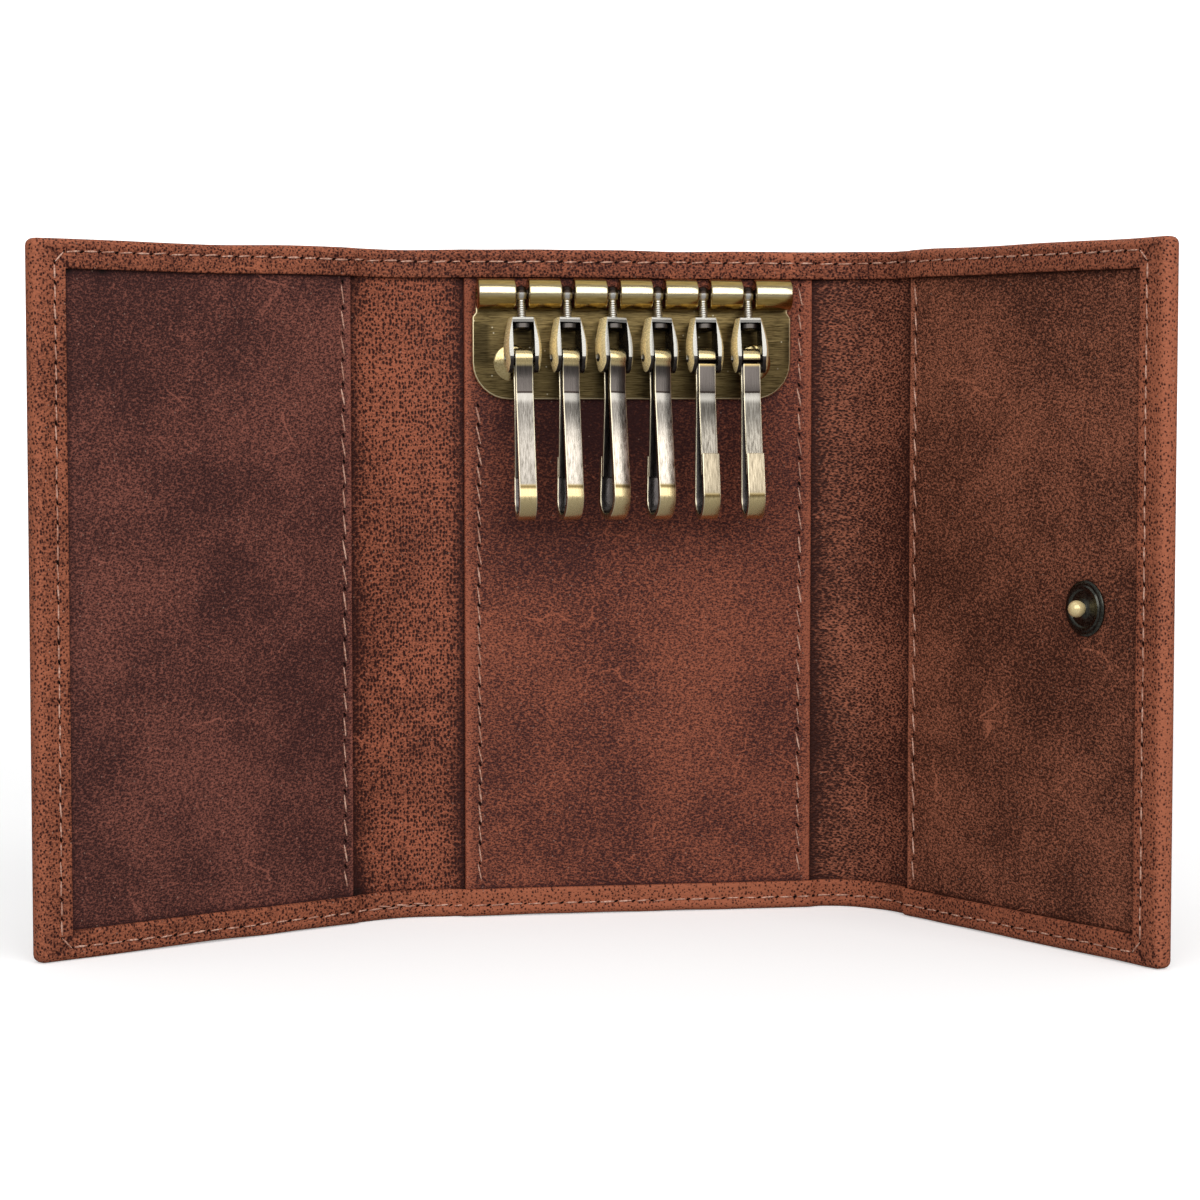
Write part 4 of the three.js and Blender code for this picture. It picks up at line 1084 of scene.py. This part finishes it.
# %% Panel seams
SEAM_LOW = 5.5 * MM
SEAM_HIGH = 102.5 * MM
BELOW_PLATE = 83 * MM


def panel_seam(label, s, low, high, body):
    threads, holes = bmesh.new(), bmesh.new()
    wander = [(s + 0.25 * MM * noise.noise(Vector((s * 90, i * 0.37, 1.0))), low + (high - low) * i / 8)
              for i in range(9)]
    places = stitch_places(wander, PANEL_PITCH)
    sew(threads, holes, places, lambda a, b: panel_depth(a, b) + 0.1 * MM, dice, 0.18, 3.25)
    for kind, bm, finish in (("_stitches", threads, thread), ("_needle_holes", holes, needle_hole)):
        piece = finish_piece(label + kind, bm, finish, 80)
        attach(piece, body)
    print("seam", label)


panel_seam("left_pocket", left_seam - LAP - SEAM_INSET, SEAM_LOW, SEAM_HIGH, "left_panel")
panel_seam("hook_panel_left", -MIDDLE_EDGE + 2.3 * MM, SEAM_LOW, BELOW_PLATE, "case")
panel_seam("hook_panel_right", MIDDLE_EDGE - 2.0 * MM, SEAM_LOW, SEAM_HIGH, "case")
panel_seam("right_pocket", right_seam + LAP + SEAM_INSET, SEAM_LOW, SEAM_HIGH, "right_panel")

# %% [markdown]
# Most metal parts are turned or stamped. A turned part is an outline that the spin operator carries once round an
# axis, and then its doubles are merged. A stamped part starts from an outline with arcs for its corners. Every
# metal piece also keeps where its points lie on the piece itself, for the brushing.

# %% Turned parts and arcs
def turn_profile(bm, profile, axis, count):
    """Spin an outline of (radius, distance along the axis) pairs round an axis through the origin."""
    spots = {"X": lambda r, h: (h, r, 0), "Y": lambda r, h: (r, h, 0), "Z": lambda r, h: (r, 0, h)}
    verts = [bm.verts.new(spots[axis](r * MM, h * MM)) for r, h in profile]
    edges = [bm.edges.new(pair) for pair in zip(verts, verts[1:])]
    direction = {"X": (1, 0, 0), "Y": (0, 1, 0), "Z": (0, 0, 1)}[axis]
    before = set(bm.verts) - set(verts)
    bmesh.ops.spin(bm, geom=verts + edges, cent=(0, 0, 0), axis=direction, dvec=(0, 0, 0),
                   angle=2 * math.pi, steps=count, use_merge=True, use_duplicate=False)
    made = [vert for vert in bm.verts if vert not in before]
    bmesh.ops.remove_doubles(bm, verts=made, dist=1e-7)
    bmesh.ops.recalc_face_normals(bm, faces=bm.faces)
    return [vert for vert in bm.verts if vert not in before]


def arc(centre_x, centre_z, radius, from_degrees, to_degrees, count=8):
    angles = [math.radians(from_degrees + (to_degrees - from_degrees) * i / count) for i in range(count + 1)]
    return [(centre_x + radius * math.cos(a), centre_z + radius * math.sin(a)) for a in angles]


def keep_place(piece, matrix=None):
    """Store where each point lies on the piece itself, in millimetres, then put the piece in its place."""
    mesh = piece.data
    own = mesh.attributes.new("own_place", "FLOAT_VECTOR", "POINT")
    spots = [part for vert in mesh.vertices for part in (vert.co / MM)]
    own.data.foreach_set("vector", spots)
    if matrix is not None:
        mesh.transform(matrix)
    return piece


print("a quarter arc has", len(arc(0, 0, 1, 0, 90)), "points")

# %% [markdown]
# The hook plate is stamped brass. Its top edge is slit into tabs, and the tabs are rolled forward round a
# steel rod. The flat part is an outline with notches for the slits, given its thickness and a rounded rim. The
# rim is marked as polished.

# %% Hook plate
PLATE_BACK = -1.0 * MM
PLATE_FRONT = -1.7 * MM
rod_place = Vector(joints["hook_1_swing"]["pos_m"])
half_plate, half_barrel, plate_drop, corner, slit, slit_drop = 26.2, 25.65, -16.9, 6.0, 1.05, -2.4
outline = arc(half_plate - corner, plate_drop + corner, corner, -90, 0)
outline += [(half_plate, -3.6), (half_barrel, -2.9), (half_barrel, -0.2)]
for x in reversed(hook_x):
    local = (x - row_x) / MM
    outline += [(local + slit, -0.2), (local + slit, slit_drop)]
    outline += [(local - slit, slit_drop), (local - slit, -0.2)]
outline += [(-half_barrel, -0.2), (-half_barrel, -2.9), (-half_plate, -3.6)]
outline += arc(-half_plate + corner, plate_drop + corner, corner, 180, 270)
bm = bmesh.new()
sheet = bm.faces.new([bm.verts.new((x * MM, 0, z * MM)) for x, z in outline])
bmesh.ops.recalc_face_normals(bm, faces=[sheet])
if sheet.normal.y > 0:
    bmesh.ops.reverse_faces(bm, faces=[sheet])
bmesh.ops.solidify(bm, geom=[sheet], thickness=0.7 * MM)
rim = [edge for edge in sharp_edges(bm) if all(abs(vert.co.y) < MM / 100 for vert in edge.verts)]
polished = bm.faces.layers.float.new("polished")
for face in soften(bm, rim, 0.26 * MM, 3):
    middle = face.calc_center_median() / MM
    face[polished] = 0.0 if middle.z > -3.4 and abs(middle.x) < half_barrel - 0.4 else 1.0
plate_shift = Matrix.Translation((row_x, PLATE_FRONT, rod_place.z))
plate = keep_place(finish_piece("hook_plate_brass", bm, plate_brass, 50), plate_shift)
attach(plate, "case")
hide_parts("hook_plate")
print("plate", len(plate.data.polygons), "faces")

# %% [markdown]
# The rolled tabs are seven short tubes on one line, spun round the rod's axis. Their ends are rounded a little,
# and a band along the front is painted bright, a painted highlight.

# %% Rolled barrel
BARREL = 2.5
BORE = 0.85
round_off = 0.22
bm = bmesh.new()
stops = [-half_barrel] + [(x - row_x) / MM + side * slit for x in hook_x for side in (-1, 1)] + [half_barrel]
for start, stop in zip(stops[::2], stops[1::2]):
    turned = turn_profile(bm, [(BORE, start), (BARREL - round_off, start), (BARREL - 0.07, start + 0.07),
                               (BARREL, start + round_off), (BARREL, stop - round_off),
                               (BARREL - 0.07, stop - 0.07), (BARREL - round_off, stop), (BORE, stop),
                               (BORE, start)], "X", 40)
    bmesh.ops.translate(bm, verts=turned, vec=(0, rod_place.y - PLATE_FRONT, 0))
# A painted highlight along the front of the barrel.
polished = bm.verts.layers.float.new("polished")
for vert in bm.verts:
    front = vert.co.y < rod_place.y - PLATE_FRONT - 1.5 * MM
    vert[polished] = math.exp(-((vert.co.z / MM - 0.5) / 0.85) ** 4) if front else 0.0
barrel = keep_place(finish_piece("rolled_barrel_brass", bm, barrel_brass, 50), plate_shift)
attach(barrel, "case")
print("barrel", len(barrel.data.polygons), "faces")

# %% [markdown]
# Two domed rivets hold the plate. A dome is a low cap cut from a large ball: its profile is spun round the
# rivet's axis. It stays low, because the outer hooks turn in front of it.

# %% Rivets and rod
def shallow_dome(radius, rise, rim, count):
    """A cap cut from a large ball, low enough for a clevis to turn in front of it."""
    ball = (radius ** 2 + (rise - rim) ** 2) / (2 * (rise - rim))
    profile = [(0.0, 0.0), (radius - 0.05, 0.0), (radius, -0.05), (radius, -rim + 0.04), (radius - 0.03, -rim)]
    for i in range(1, count + 1):
        across = (radius - 0.03) * (1 - i / count)
        profile.append((across, ball - rise - math.sqrt(ball ** 2 - across ** 2)))
    return profile


for side in ("left", "right"):
    low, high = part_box("rivet_" + side)
    bm = bmesh.new()
    turn_profile(bm, shallow_dome(2.95, 0.66, 0.12, 12), "Y", 40)
    centre = ((low.x + high.x) / 2, PLATE_FRONT - 0.02 * MM, (low.z + high.z) / 2)
    rivet = keep_place(finish_piece("rivet_dome_" + side, bm, rivet_brass, 50), Matrix.Translation(centre))
    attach(rivet, "case")
    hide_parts("rivet_" + side)
    print("rivet", side, [round(part / MM, 1) for part in centre])

bm = bmesh.new()
turn_profile(bm, [(0, -25.45), (0.6, -25.45), (0.7, -25.35), (0.7, 25.35), (0.6, 25.45), (0, 25.45)], "X", 24)
rod_shift = Matrix.Translation((row_x, rod_place.y, rod_place.z))
rod = keep_place(finish_piece("hook_rod_steel", bm, dark_steel, 50), rod_shift)
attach(rod, "case")
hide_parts("hook_rod")
print("rod", len(rod.data.polygons), "faces")

# %% [markdown]
# Each hook hangs on a stem. The stem's eye turns on the rod, and its head sits inside a clevis, so the clevis
# can swivel. The eye is a rounded ring, and the neck is ridged like a rolled screw.

# %% Stem shape
def ring_profile(inner, outer, half, bulge):
    return [(inner, -half), (outer - bulge, -half), (outer - 0.1, -half * 0.6), (outer, 0),
            (outer - 0.1, half * 0.6), (outer - bulge, half), (inner, half), (inner, -half)]


def stem_shape():
    bm = bmesh.new()
    turn_profile(bm, ring_profile(0.85, 1.35, 0.75, 0.3), "X", 24)
    neck = [(0.0, -1.05), (0.62, -1.05)]
    for i in range(10):
        top = -1.15 - i * 0.36
        neck += [(0.7, top - 0.08), (0.7, top - 0.2), (0.57, top - 0.28)]
    neck += [(0.6, -4.95), (1.5, -5.0), (1.66, -5.12), (1.66, -5.78), (1.5, -5.9), (0.0, -5.9)]
    turn_profile(bm, neck, "Z", 24)
    polished = bm.verts.layers.float.new("polished")
    for vert in bm.verts:
        below = -vert.co.z / MM
        vert[polished] = 0.95 if 0.25 < below < 4.9 else 0.08 if below > 4.9 else 0.0
    return bm


print("the eye's outline has", len(ring_profile(0.85, 1.35, 0.75, 0.3)), "points")

# %% [markdown]
# All six hooks are alike and hang at different turns, so each shape is made once in its own coordinates and then
# hung six times. The place and turn of each copy come from the joints.

# %% Hanging the stems
HOOK_LEAN = 4.5


def place_on(origin, x_axis, up):
    side = up.cross(x_axis)
    matrix = Matrix((x_axis, side, up)).transposed().to_4x4()
    matrix.translation = origin
    return matrix


def hook_frame(number):
    """Where one hook's stem, clevis and loop stand at rest."""
    swing = Vector(joints[f"hook_{number}_swing"]["pos_m"])
    pin = Vector(joints[f"hook_{number}_pivot"]["pos_m"])
    up = Vector(joints[f"hook_{number}_swivel"]["axis"]).normalized()
    across = -Vector(joints[f"hook_{number}_gate"]["axis"]).normalized()
    facing = 1 if across.x > 0 else -1
    lean = Matrix.Rotation(math.radians(HOOK_LEAN) * facing, 4, "X")
    stem = place_on(swing, Vector((1, 0, 0)), up)
    clevis = place_on(swing, across, up)
    loop = place_on(pin, across, up) @ lean
    return stem, clevis, loop


def hang(shape_mesh, name, matrix, body, replaced):
    mesh = shape_mesh.copy()
    mesh.name = name
    mesh.transform(matrix)
    piece = bpy.data.objects.new(name, mesh)
    bpy.context.scene.collection.objects.link(piece)
    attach(piece, body)
    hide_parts(replaced)
    return piece


def shape_mesh(name, bm, finish, sharp=45):
    """A shape in its own coordinates, kept as a mesh to be hung several times."""
    piece = keep_place(finish_piece(name, bm, finish, sharp))
    mesh = piece.data
    bpy.data.objects.remove(piece)
    return mesh


stem_mesh = shape_mesh("stem_shape", stem_shape(), dark_steel)
for number in HOOKS:
    stem, clevis, loop = hook_frame(number)
    hang(stem_mesh, f"stem_steel_{number}", stem, f"stem_body_{number}", f"stem_{number}")
print("stem", len(stem_mesh.polygons), "faces each")

# %% [markdown]
# Carving takes a rough shape and others that cut it. Boolean modifiers do the cutting, a Bevel modifier breaks
# the sharp edges, and the result is read back as a plain mesh, so no modifier is left.

# %% Carving
ROUND_ABOVE = 35


def only_verts(parts):
    return [part for part in parts if isinstance(part, bmesh.types.BMVert)]


def helper_piece(bm, name):
    bmesh.ops.recalc_face_normals(bm, faces=bm.faces)
    return finish_piece(name, bm, dome_brass)


def carve(piece, others, width):
    for other, how in others:
        carving = piece.modifiers.new(how.lower(), "BOOLEAN")
        carving.object = other
        carving.operation = how
        carving.solver = "EXACT"
    rounding = piece.modifiers.new("rounding", "BEVEL")
    rounding.width = width
    rounding.segments = 2
    rounding.limit_method = "ANGLE"
    rounding.angle_limit = math.radians(ROUND_ABOVE)
    bpy.context.view_layer.update()
    done = bpy.data.meshes.new_from_object(piece.evaluated_get(bpy.context.evaluated_depsgraph_get()))
    for old in [piece] + [other for other, how in others]:
        bpy.data.objects.remove(old)
    return done


print("carving rounds edges sharper than", ROUND_ABOVE, "degrees")

# %% [markdown]
# The clevis is a domed cup, cut flat in front and behind and slotted for the hook. It is turned as a full dome
# first. Then only the middle strap is kept, and the slot and the two holes are cut.

# %% Clevis shape
PIN_DROP = -10.5


def clevis_shape():
    end, top = -12.9, -4.1
    tall = top - end
    bm = bmesh.new()
    shares = [(2.4, 0), (2.7, 0.08), (2.94, 0.22), (3.04, 0.34), (3.06, 0.46), (2.98, 0.58), (2.8, 0.7),
              (2.58, 0.82), (2.4, 0.9), (2.2, 1.0)]
    turn_profile(bm, [(0, end)] + [(r, end + tall * share) for r, share in shares] + [(0, top)], "Z", 48)
    body = helper_piece(bm, "clevis_dome")
    strap = [(-1.36, -3.1), (-1.9, -8.6), (-1.9, PIN_DROP)]
    strap += [(1.9 * math.cos(math.radians(a)), PIN_DROP + 2.34 * math.sin(math.radians(a)))
              for a in range(195, 346, 15)]
    strap += [(1.9, PIN_DROP), (1.9, -8.6), (1.36, -3.1)]
    bm = bmesh.new()
    side = bm.faces.new([bm.verts.new((-6 * MM, y * MM, z * MM)) for y, z in strap])
    moved = bmesh.ops.extrude_face_region(bm, geom=[side], use_keep_orig=True)["geom"]
    bmesh.ops.translate(bm, vec=(12 * MM, 0, 0), verts=only_verts(moved))
    keep = helper_piece(bm, "clevis_strap")
    bm = bmesh.new()
    block(bm, (-1.725 * MM, -6 * MM, -14 * MM), (1.725 * MM, 6 * MM, -4.9 * MM))
    slot = helper_piece(bm, "clevis_slot")
    bm = bmesh.new()
    turn_profile(bm, [(0, -5.4), (0.75, -5.4), (0.75, 0), (0, 0)], "Z", 20)
    neck_hole = helper_piece(bm, "clevis_neck_hole")
    bm = bmesh.new()
    made = turn_profile(bm, [(0, -4), (0.7, -4), (0.7, 4), (0, 4)], "X", 20)
    bmesh.ops.translate(bm, verts=made, vec=(0, 0, PIN_DROP * MM))
    pin_hole = helper_piece(bm, "clevis_pin_hole")
    others = [(keep, "INTERSECT"), (slot, "DIFFERENCE"), (neck_hole, "DIFFERENCE"), (pin_hole, "DIFFERENCE")]
    return carve(body, others, 0.1 * MM)


carved = clevis_shape()
print("carved clevis", len(carved.polygons), "faces")

# %% [markdown]
# The flat front of a clevis is rubbed bright. The inside of its slot and the gap under its bridge get painted
# shade, and the ends of its ears a dark painted reflection. All are marked face by face, after two cuts that
# separate the bridge and the cheeks. Then the shape is hung six times.

# %% Clevises
bm = bmesh.new()
bm.from_mesh(carved)
cut(bm, (0, 0, -4.42 * MM), (0, 0, 1))
for side in (-1.73, 1.73):
    cut(bm, (side * MM, 0, 0), (1, 0, 0))
polished = bm.faces.layers.float.new("polished")
deep = bm.faces.layers.float.new("deep")
for face in bm.faces:
    facing = abs(face.normal.y)
    middle = face.calc_center_median() / MM
    face[polished] = 1.0 if facing > 0.9 else 0.6 if facing > 0.6 else 0.0
    # Painted shade in the slot and under the bridge, and a dark painted reflection on the ears' ends.
    in_slot = abs(middle.x) < 1.8 and middle.z < -4.8 and facing < 0.6
    ear_end = middle.z < -10.6 and abs(face.normal.x) < 0.5
    under_bridge = abs(middle.x) < 1.73 and -4.95 < middle.z < -4.42 and facing > 0.9
    face[deep] = 1.0 if in_slot or ear_end else 0.75 if under_bridge else 0.0
clevis_mesh = shape_mesh("clevis_shape", bm, dome_brass, 35)
for number in HOOKS:
    stem, clevis, loop = hook_frame(number)
    hang(clevis_mesh, f"clevis_brass_{number}", clevis, f"clevis_body_{number}", f"clevis_{number}")
print("clevis", len(clevis_mesh.polygons), "faces each")

# %% [markdown]
# A pin with rounded ends crosses each clevis and carries the hook. It is spun round its own line and then moved
# down to the two holes.

# %% Clevis pins
bm = bmesh.new()
made = turn_profile(bm, [(0, -2.72), (0.5, -2.7), (0.65, -2.6), (0.65, 2.6), (0.5, 2.7), (0, 2.72)], "X", 20)
bmesh.ops.translate(bm, verts=made, vec=(0, 0, PIN_DROP * MM))
pin_mesh = shape_mesh("pin_shape", bm, dark_steel)
for number in HOOKS:
    stem, clevis, loop = hook_frame(number)
    hang(pin_mesh, f"clevis_pin_steel_{number}", clevis, f"clevis_body_{number}", f"clevis_pin_{number}")
print("pin", len(pin_mesh.polygons), "faces each")

# %% [markdown]
# A bent strip is drawn as a line of points in the middle of the metal, extruded to its width and thickened to
# both sides. The faces that look into the hook's opening are marked as inner.

# %% Strip shape
def gate_y(z):
    """How far behind the pin's line the gate stands at a height."""
    return 0.9 + 0.066 * (-6.2 - z)


def inside(z):
    """The middle of the loop's opening at a height."""
    return 0.0 if z > -6 else (gate_y(z) - 2.0) / 2


def strip_shape(name, line, width, thick, finish):
    bm = bmesh.new()
    chain = [bm.verts.new((-width / 2 * MM, y * MM, z * MM)) for y, z in line]
    edges = [bm.edges.new(pair) for pair in zip(chain, chain[1:])]
    made = bmesh.ops.extrude_edge_only(bm, edges=edges)["geom"]
    bmesh.ops.translate(bm, vec=(width * MM, 0, 0), verts=only_verts(made))
    bmesh.ops.recalc_face_normals(bm, faces=bm.faces)
    piece = finish_piece(name, bm, finish)
    wall = piece.modifiers.new("wall", "SOLIDIFY")
    wall.thickness = thick * MM
    wall.offset = 0
    wall.use_even_offset = True
    done = carve(piece, [], 0.14 * MM)
    bm = bmesh.new()
    bm.from_mesh(done)
    inner = bm.faces.layers.float.new("inner")
    for face in bm.faces:
        middle = face.calc_center_median() / MM
        inward = inside(middle.z) - middle.y
        face[inner] = 1.0 if face.normal.y * inward > 0.5 else 0.0
    return shape_mesh(name, bm, finish, 35)


print("the gate stands off", round(gate_y(-19), 2), "mm at its end")

# %% [markdown]
# The hook itself is one steel strip: rolled round the pin, carried down in a long leg, bent back up and ending in
# a short tip. The gate is a thinner strip that springs against the inside of the tip. Every hook has its own
# shares of painted shade and painted light.

# %% Hook strips and gates
bend_top = -22.3
back = gate_y(bend_top) + 0.77
centre, half = (back - 2.8) / 2, (back + 2.8) / 2
hook_line = [(1.2 * math.cos(math.radians(a)), 1.2 * math.sin(math.radians(a))) for a in range(-15, 216, 10)]
hook_line += [(-0.93, -3.4), (-0.9, -5.0), (-0.94, -5.5), (-1.02, -6.2)]
hook_line += [(centre + half * math.cos(math.radians(a)), bend_top + 3.3 * math.sin(math.radians(a)))
              for a in range(180, 361, 10)]
hook_line += [(gate_y(-15.6) + 0.77, -15.6)]
root = math.radians(-24)
gate_line = [(1.2 * math.cos(root), 1.2 * math.sin(root) - 0.5), (0.94, -5.4), (0.9, -6.0), (0.92, -6.6),
             (gate_y(-19), -19)]
hook_mesh = strip_shape("hook_shape", hook_line, 2.85, 0.8, strip_steel)
gate_mesh = strip_shape("gate_shape", gate_line, 2.85, 0.5, gate_steel)
strip_looks = {1: (0.3, 0.25), 2: (1.0, 0.7), 3: (0.1, 1.0), 4: (0.3, 0.95), 5: (0.3, 0.5), 6: (0.3, 0.6)}
gate_looks = {1: (0.3, 0.4), 2: (0.3, 0.4), 3: (0.3, 0.4), 4: (0.3, 0.4), 5: (1.0, 1.0), 6: (0.35, 1.0)}


def note_look(piece, look):
    """How much painted shade the strip's upper leg gets, and how much painted light its lower leg."""
    for name, value in zip(("dulled", "brightened"), look):
        layer = piece.data.attributes.new(name, "FLOAT", "POINT")
        layer.data.foreach_set("value", [value] * len(piece.data.vertices))


for number in HOOKS:
    stem, clevis, loop = hook_frame(number)
    strip = hang(hook_mesh, f"hook_strip_{number}", loop, f"hook_body_{number}", f"hook_{number}")
    gate = hang(gate_mesh, f"gate_strip_{number}", loop, f"gate_body_{number}", f"gate_{number}")
    note_look(strip, strip_looks[number])
    note_look(gate, gate_looks[number])
print("hook", len(hook_mesh.polygons), "faces, gate", len(gate_mesh.polygons), "faces")

# %% [markdown]
# The snap closes the case: a ball stud inside the right panel, with its cap outside, and a socket outside the
# left panel. The stud and its cap are turned parts, so a profile spun round one axis makes each of them; the
# socket keeps its measured solid.

# %% Snap
STUD_S = right_seam + 42.5 * MM
SNAP_HEIGHT = 52.6 * MM


def on_sheet(s, depth, height):
    """The frame of a turned part on the leather: Y points through the sheet, away from the hook side."""
    here = stand((s, depth, height))
    out = (stand((s, depth + MM, height)) - here).normalized()
    return place_on(here, out.cross(Vector((0, 0, 1))), Vector((0, 0, 1)))


def snap_part(name, profile, matrix, finish, body, nodes):
    bm = bmesh.new()
    turn_profile(bm, profile, "Y", 48)
    piece = keep_place(finish_piece(name, bm, finish, 35), matrix)
    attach(piece, body)
    if nodes:
        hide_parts(*nodes)
    print(name, len(piece.data.polygons), "faces")


def dome(radius, rise, rim, count=8):
    profile = [(0.0, 0.0), (radius - 0.08, 0.0), (radius, -0.08)]
    for i in range(1, count + 1):
        angle = math.pi / 2 * i / count
        profile.append((radius * math.cos(angle), -rim - (rise - rim) * math.sin(angle)))
    profile[-1] = (0.0, profile[-1][1])
    return profile


BALL = 1.3
stud_place = on_sheet(STUD_S, PLATE_BACK, SNAP_HEIGHT)
stud = [(0, 0), (4.15, 0), (4.25, -0.1), (4.25, -0.28), (4.1, -0.42), (3.9, -0.5), (3.55, -0.5), (3.45, -0.62),
        (3.35, -0.75), (2.95, -0.75), (2.8, -0.65), (2.7, -0.55), (1.7, -0.55), (1.3, -0.7), (1.0, -0.95),
        (0, -0.95)]
snap_part("snap_stud_flange", stud, stud_place, gunmetal, "right_panel", ["snap_stud"])
ball = [(0.95, -0.7), (0.95, -1.02)]
ball += [(BALL * math.cos(math.radians(a)), -1.9 - BALL * math.sin(math.radians(a)))
         for a in range(-40, 90, 10)]
ball += [(0, -3.2)]
snap_part("snap_stud_ball", ball, stud_place, dome_brass, "right_panel", [])
cap = [(r, -h) for r, h in dome(4.6, 1.1, 0.2)]
cap_place = on_sheet(STUD_S, 1.55 * MM, SNAP_HEIGHT)
snap_part("snap_cap_dome", cap, cap_place, rivet_brass, "right_panel", ["snap_cap"])
low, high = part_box("snap_socket")
print("socket solid", [round(part / MM, 2) for part in (*low, *high)])

# %% [markdown]
# The small hidden rings keep their measured solids and only get a finish. They carry no attribute of their
# own, so their brushing reads the object's coordinates.

# %% Finishes for the solids that stay
def plain_ring_metal(name, light, dark):
    finish, tree, shader = new_finish(name, Metallic=1.0)
    place = node(tree, "TexCoord").outputs["Object"]
    brush = use_group(tree, brushing, {"Vector": place, "Lines": 5000.0})
    colour = mixed(tree, eased(tree, brush["Lines"], 0.3, 0.7), dark, light)
    tree.links.new(colour, shader.inputs["Base Color"])
    tree.links.new(eased(tree, brush["Lines"], 0.25, 0.75, 0.24, 0.42), shader.inputs["Roughness"])
    return finish


ring_brass = plain_ring_metal("ring_brass", tone(206, 176, 116), tone(170, 142, 90))
ring_gunmetal = plain_ring_metal("ring_gunmetal", tone(176, 171, 160), tone(138, 133, 124))
stays = {"rivet_burr_left": ring_gunmetal, "rivet_burr_right": ring_gunmetal, "snap_spring": ring_brass,
         "snap_eyelet": ring_gunmetal, "snap_socket": ring_gunmetal}
for name, finish in stays.items():
    for slot in frame["nodes"][name].material_slots:
        slot.material = finish
print("kept solids", sorted(stays))

# %% [markdown]
# The studio is a white sweep: a floor that curves up into a wall, so no horizon shows behind the case. The
# camera sees the paper as white, and the floor far in front as brighter still, so the picture ends in white.
# Light that bounces from it onto the case finds a greyer paper, which keeps the leather's colours deep.

# %% Sweep
bm = bmesh.new()
start = bm.verts.new((-3, -4.0, 0))
corner = bm.verts.new((-3, 0.9, 0))
bm.edges.new((start, corner))
bend = bmesh.ops.spin(bm, geom=[corner], cent=(-3, 0.9, 0.6), axis=(1, 0, 0), dvec=(0, 0, 0),
                      angle=math.pi / 2, steps=16, use_duplicate=False)["geom_last"]
top = only_verts(bend)[0]
raised = bmesh.ops.extrude_vert_indiv(bm, verts=[top])["verts"]
bmesh.ops.translate(bm, verts=raised, vec=(0, 0, 2.5))
wide = bmesh.ops.extrude_edge_only(bm, edges=bm.edges[:])["geom"]
bmesh.ops.translate(bm, verts=only_verts(wide), vec=(6, 0, 0))
bmesh.ops.recalc_face_normals(bm, faces=bm.faces)
paper, tree, shader = new_finish("white_paper", Roughness=0.9, Emission_Strength=0.4)
paper_place = node(tree, "TexCoord").outputs["Object"]
cloud = node(tree, "TexNoise", {"Vector": paper_place, "Scale": 3.0, "Detail": 2.0}).outputs["Fac"]
white = mixed(tree, eased(tree, cloud, 0.3, 0.7), tone(250, 250, 250), tone(246, 246, 246))
seen = node(tree, "LightPath").outputs["Is Camera Ray"]
tree.links.new(mixed(tree, seen, tone(170, 170, 170), white), shader.inputs["Base Color"])
across = node(tree, "SeparateXYZ", {0: paper_place}).outputs["Y"]
glow = mixed(tree, eased(tree, across, -0.5, -1.0), white, (2.6, 2.6, 2.6, 1.0))
tree.links.new(mixed(tree, seen, tone(60, 60, 60), glow), shader.inputs["Emission Color"])
sweep = finish_piece("paper_sweep", bm, paper, 60)
print("sweep", len(sweep.data.polygons), "faces")

# %% [markdown]
# A wide soft light stands in front, higher than the case, and a weak one hangs above it. A third shines away
# from the case onto the wall, which keeps the background white. The world around is a middle grey for the
# metal to mirror, and only the camera sees it as white.

# %% Lights and world
def soft_light(name, place, target, width, depth, power):
    data = bpy.data.lights.new(name, "AREA")
    data.shape = "RECTANGLE"
    data.size = width
    data.size_y = depth
    data.energy = power
    lamp = bpy.data.objects.new(name, data)
    lamp.location = place
    lamp.rotation_euler = (Vector(target) - Vector(place)).to_track_quat("-Z", "Y").to_euler()
    bpy.context.scene.collection.objects.link(lamp)
    return lamp


soft_light("front_light", (0.0, -0.95, 0.8), (0.0, 0.0, 0.8), 1.7, 1.1, 12.5)
soft_light("top_light", (0.0, 0.1, 1.4), (0, 0.1, 0), 1.6, 1.0, 1.6)
soft_light("back_light", (0.0, 0.45, 1.2), (0, 1.5, 1.0), 1.8, 0.7, 16.0)
world = bpy.data.worlds.new("studio")
bpy.context.scene.world = world
world.use_nodes = True
tree = world.node_tree
seen = node(tree, "LightPath").outputs["Is Camera Ray"]
sky = tree.nodes["Background"]
tree.links.new(mixed(tree, seen, (0.42, 0.42, 0.42, 1), (1, 1, 1, 1)), sky.inputs["Color"])
view = bpy.context.scene.view_settings
view.view_transform = "Standard"
print("lights", len(bpy.data.lights))
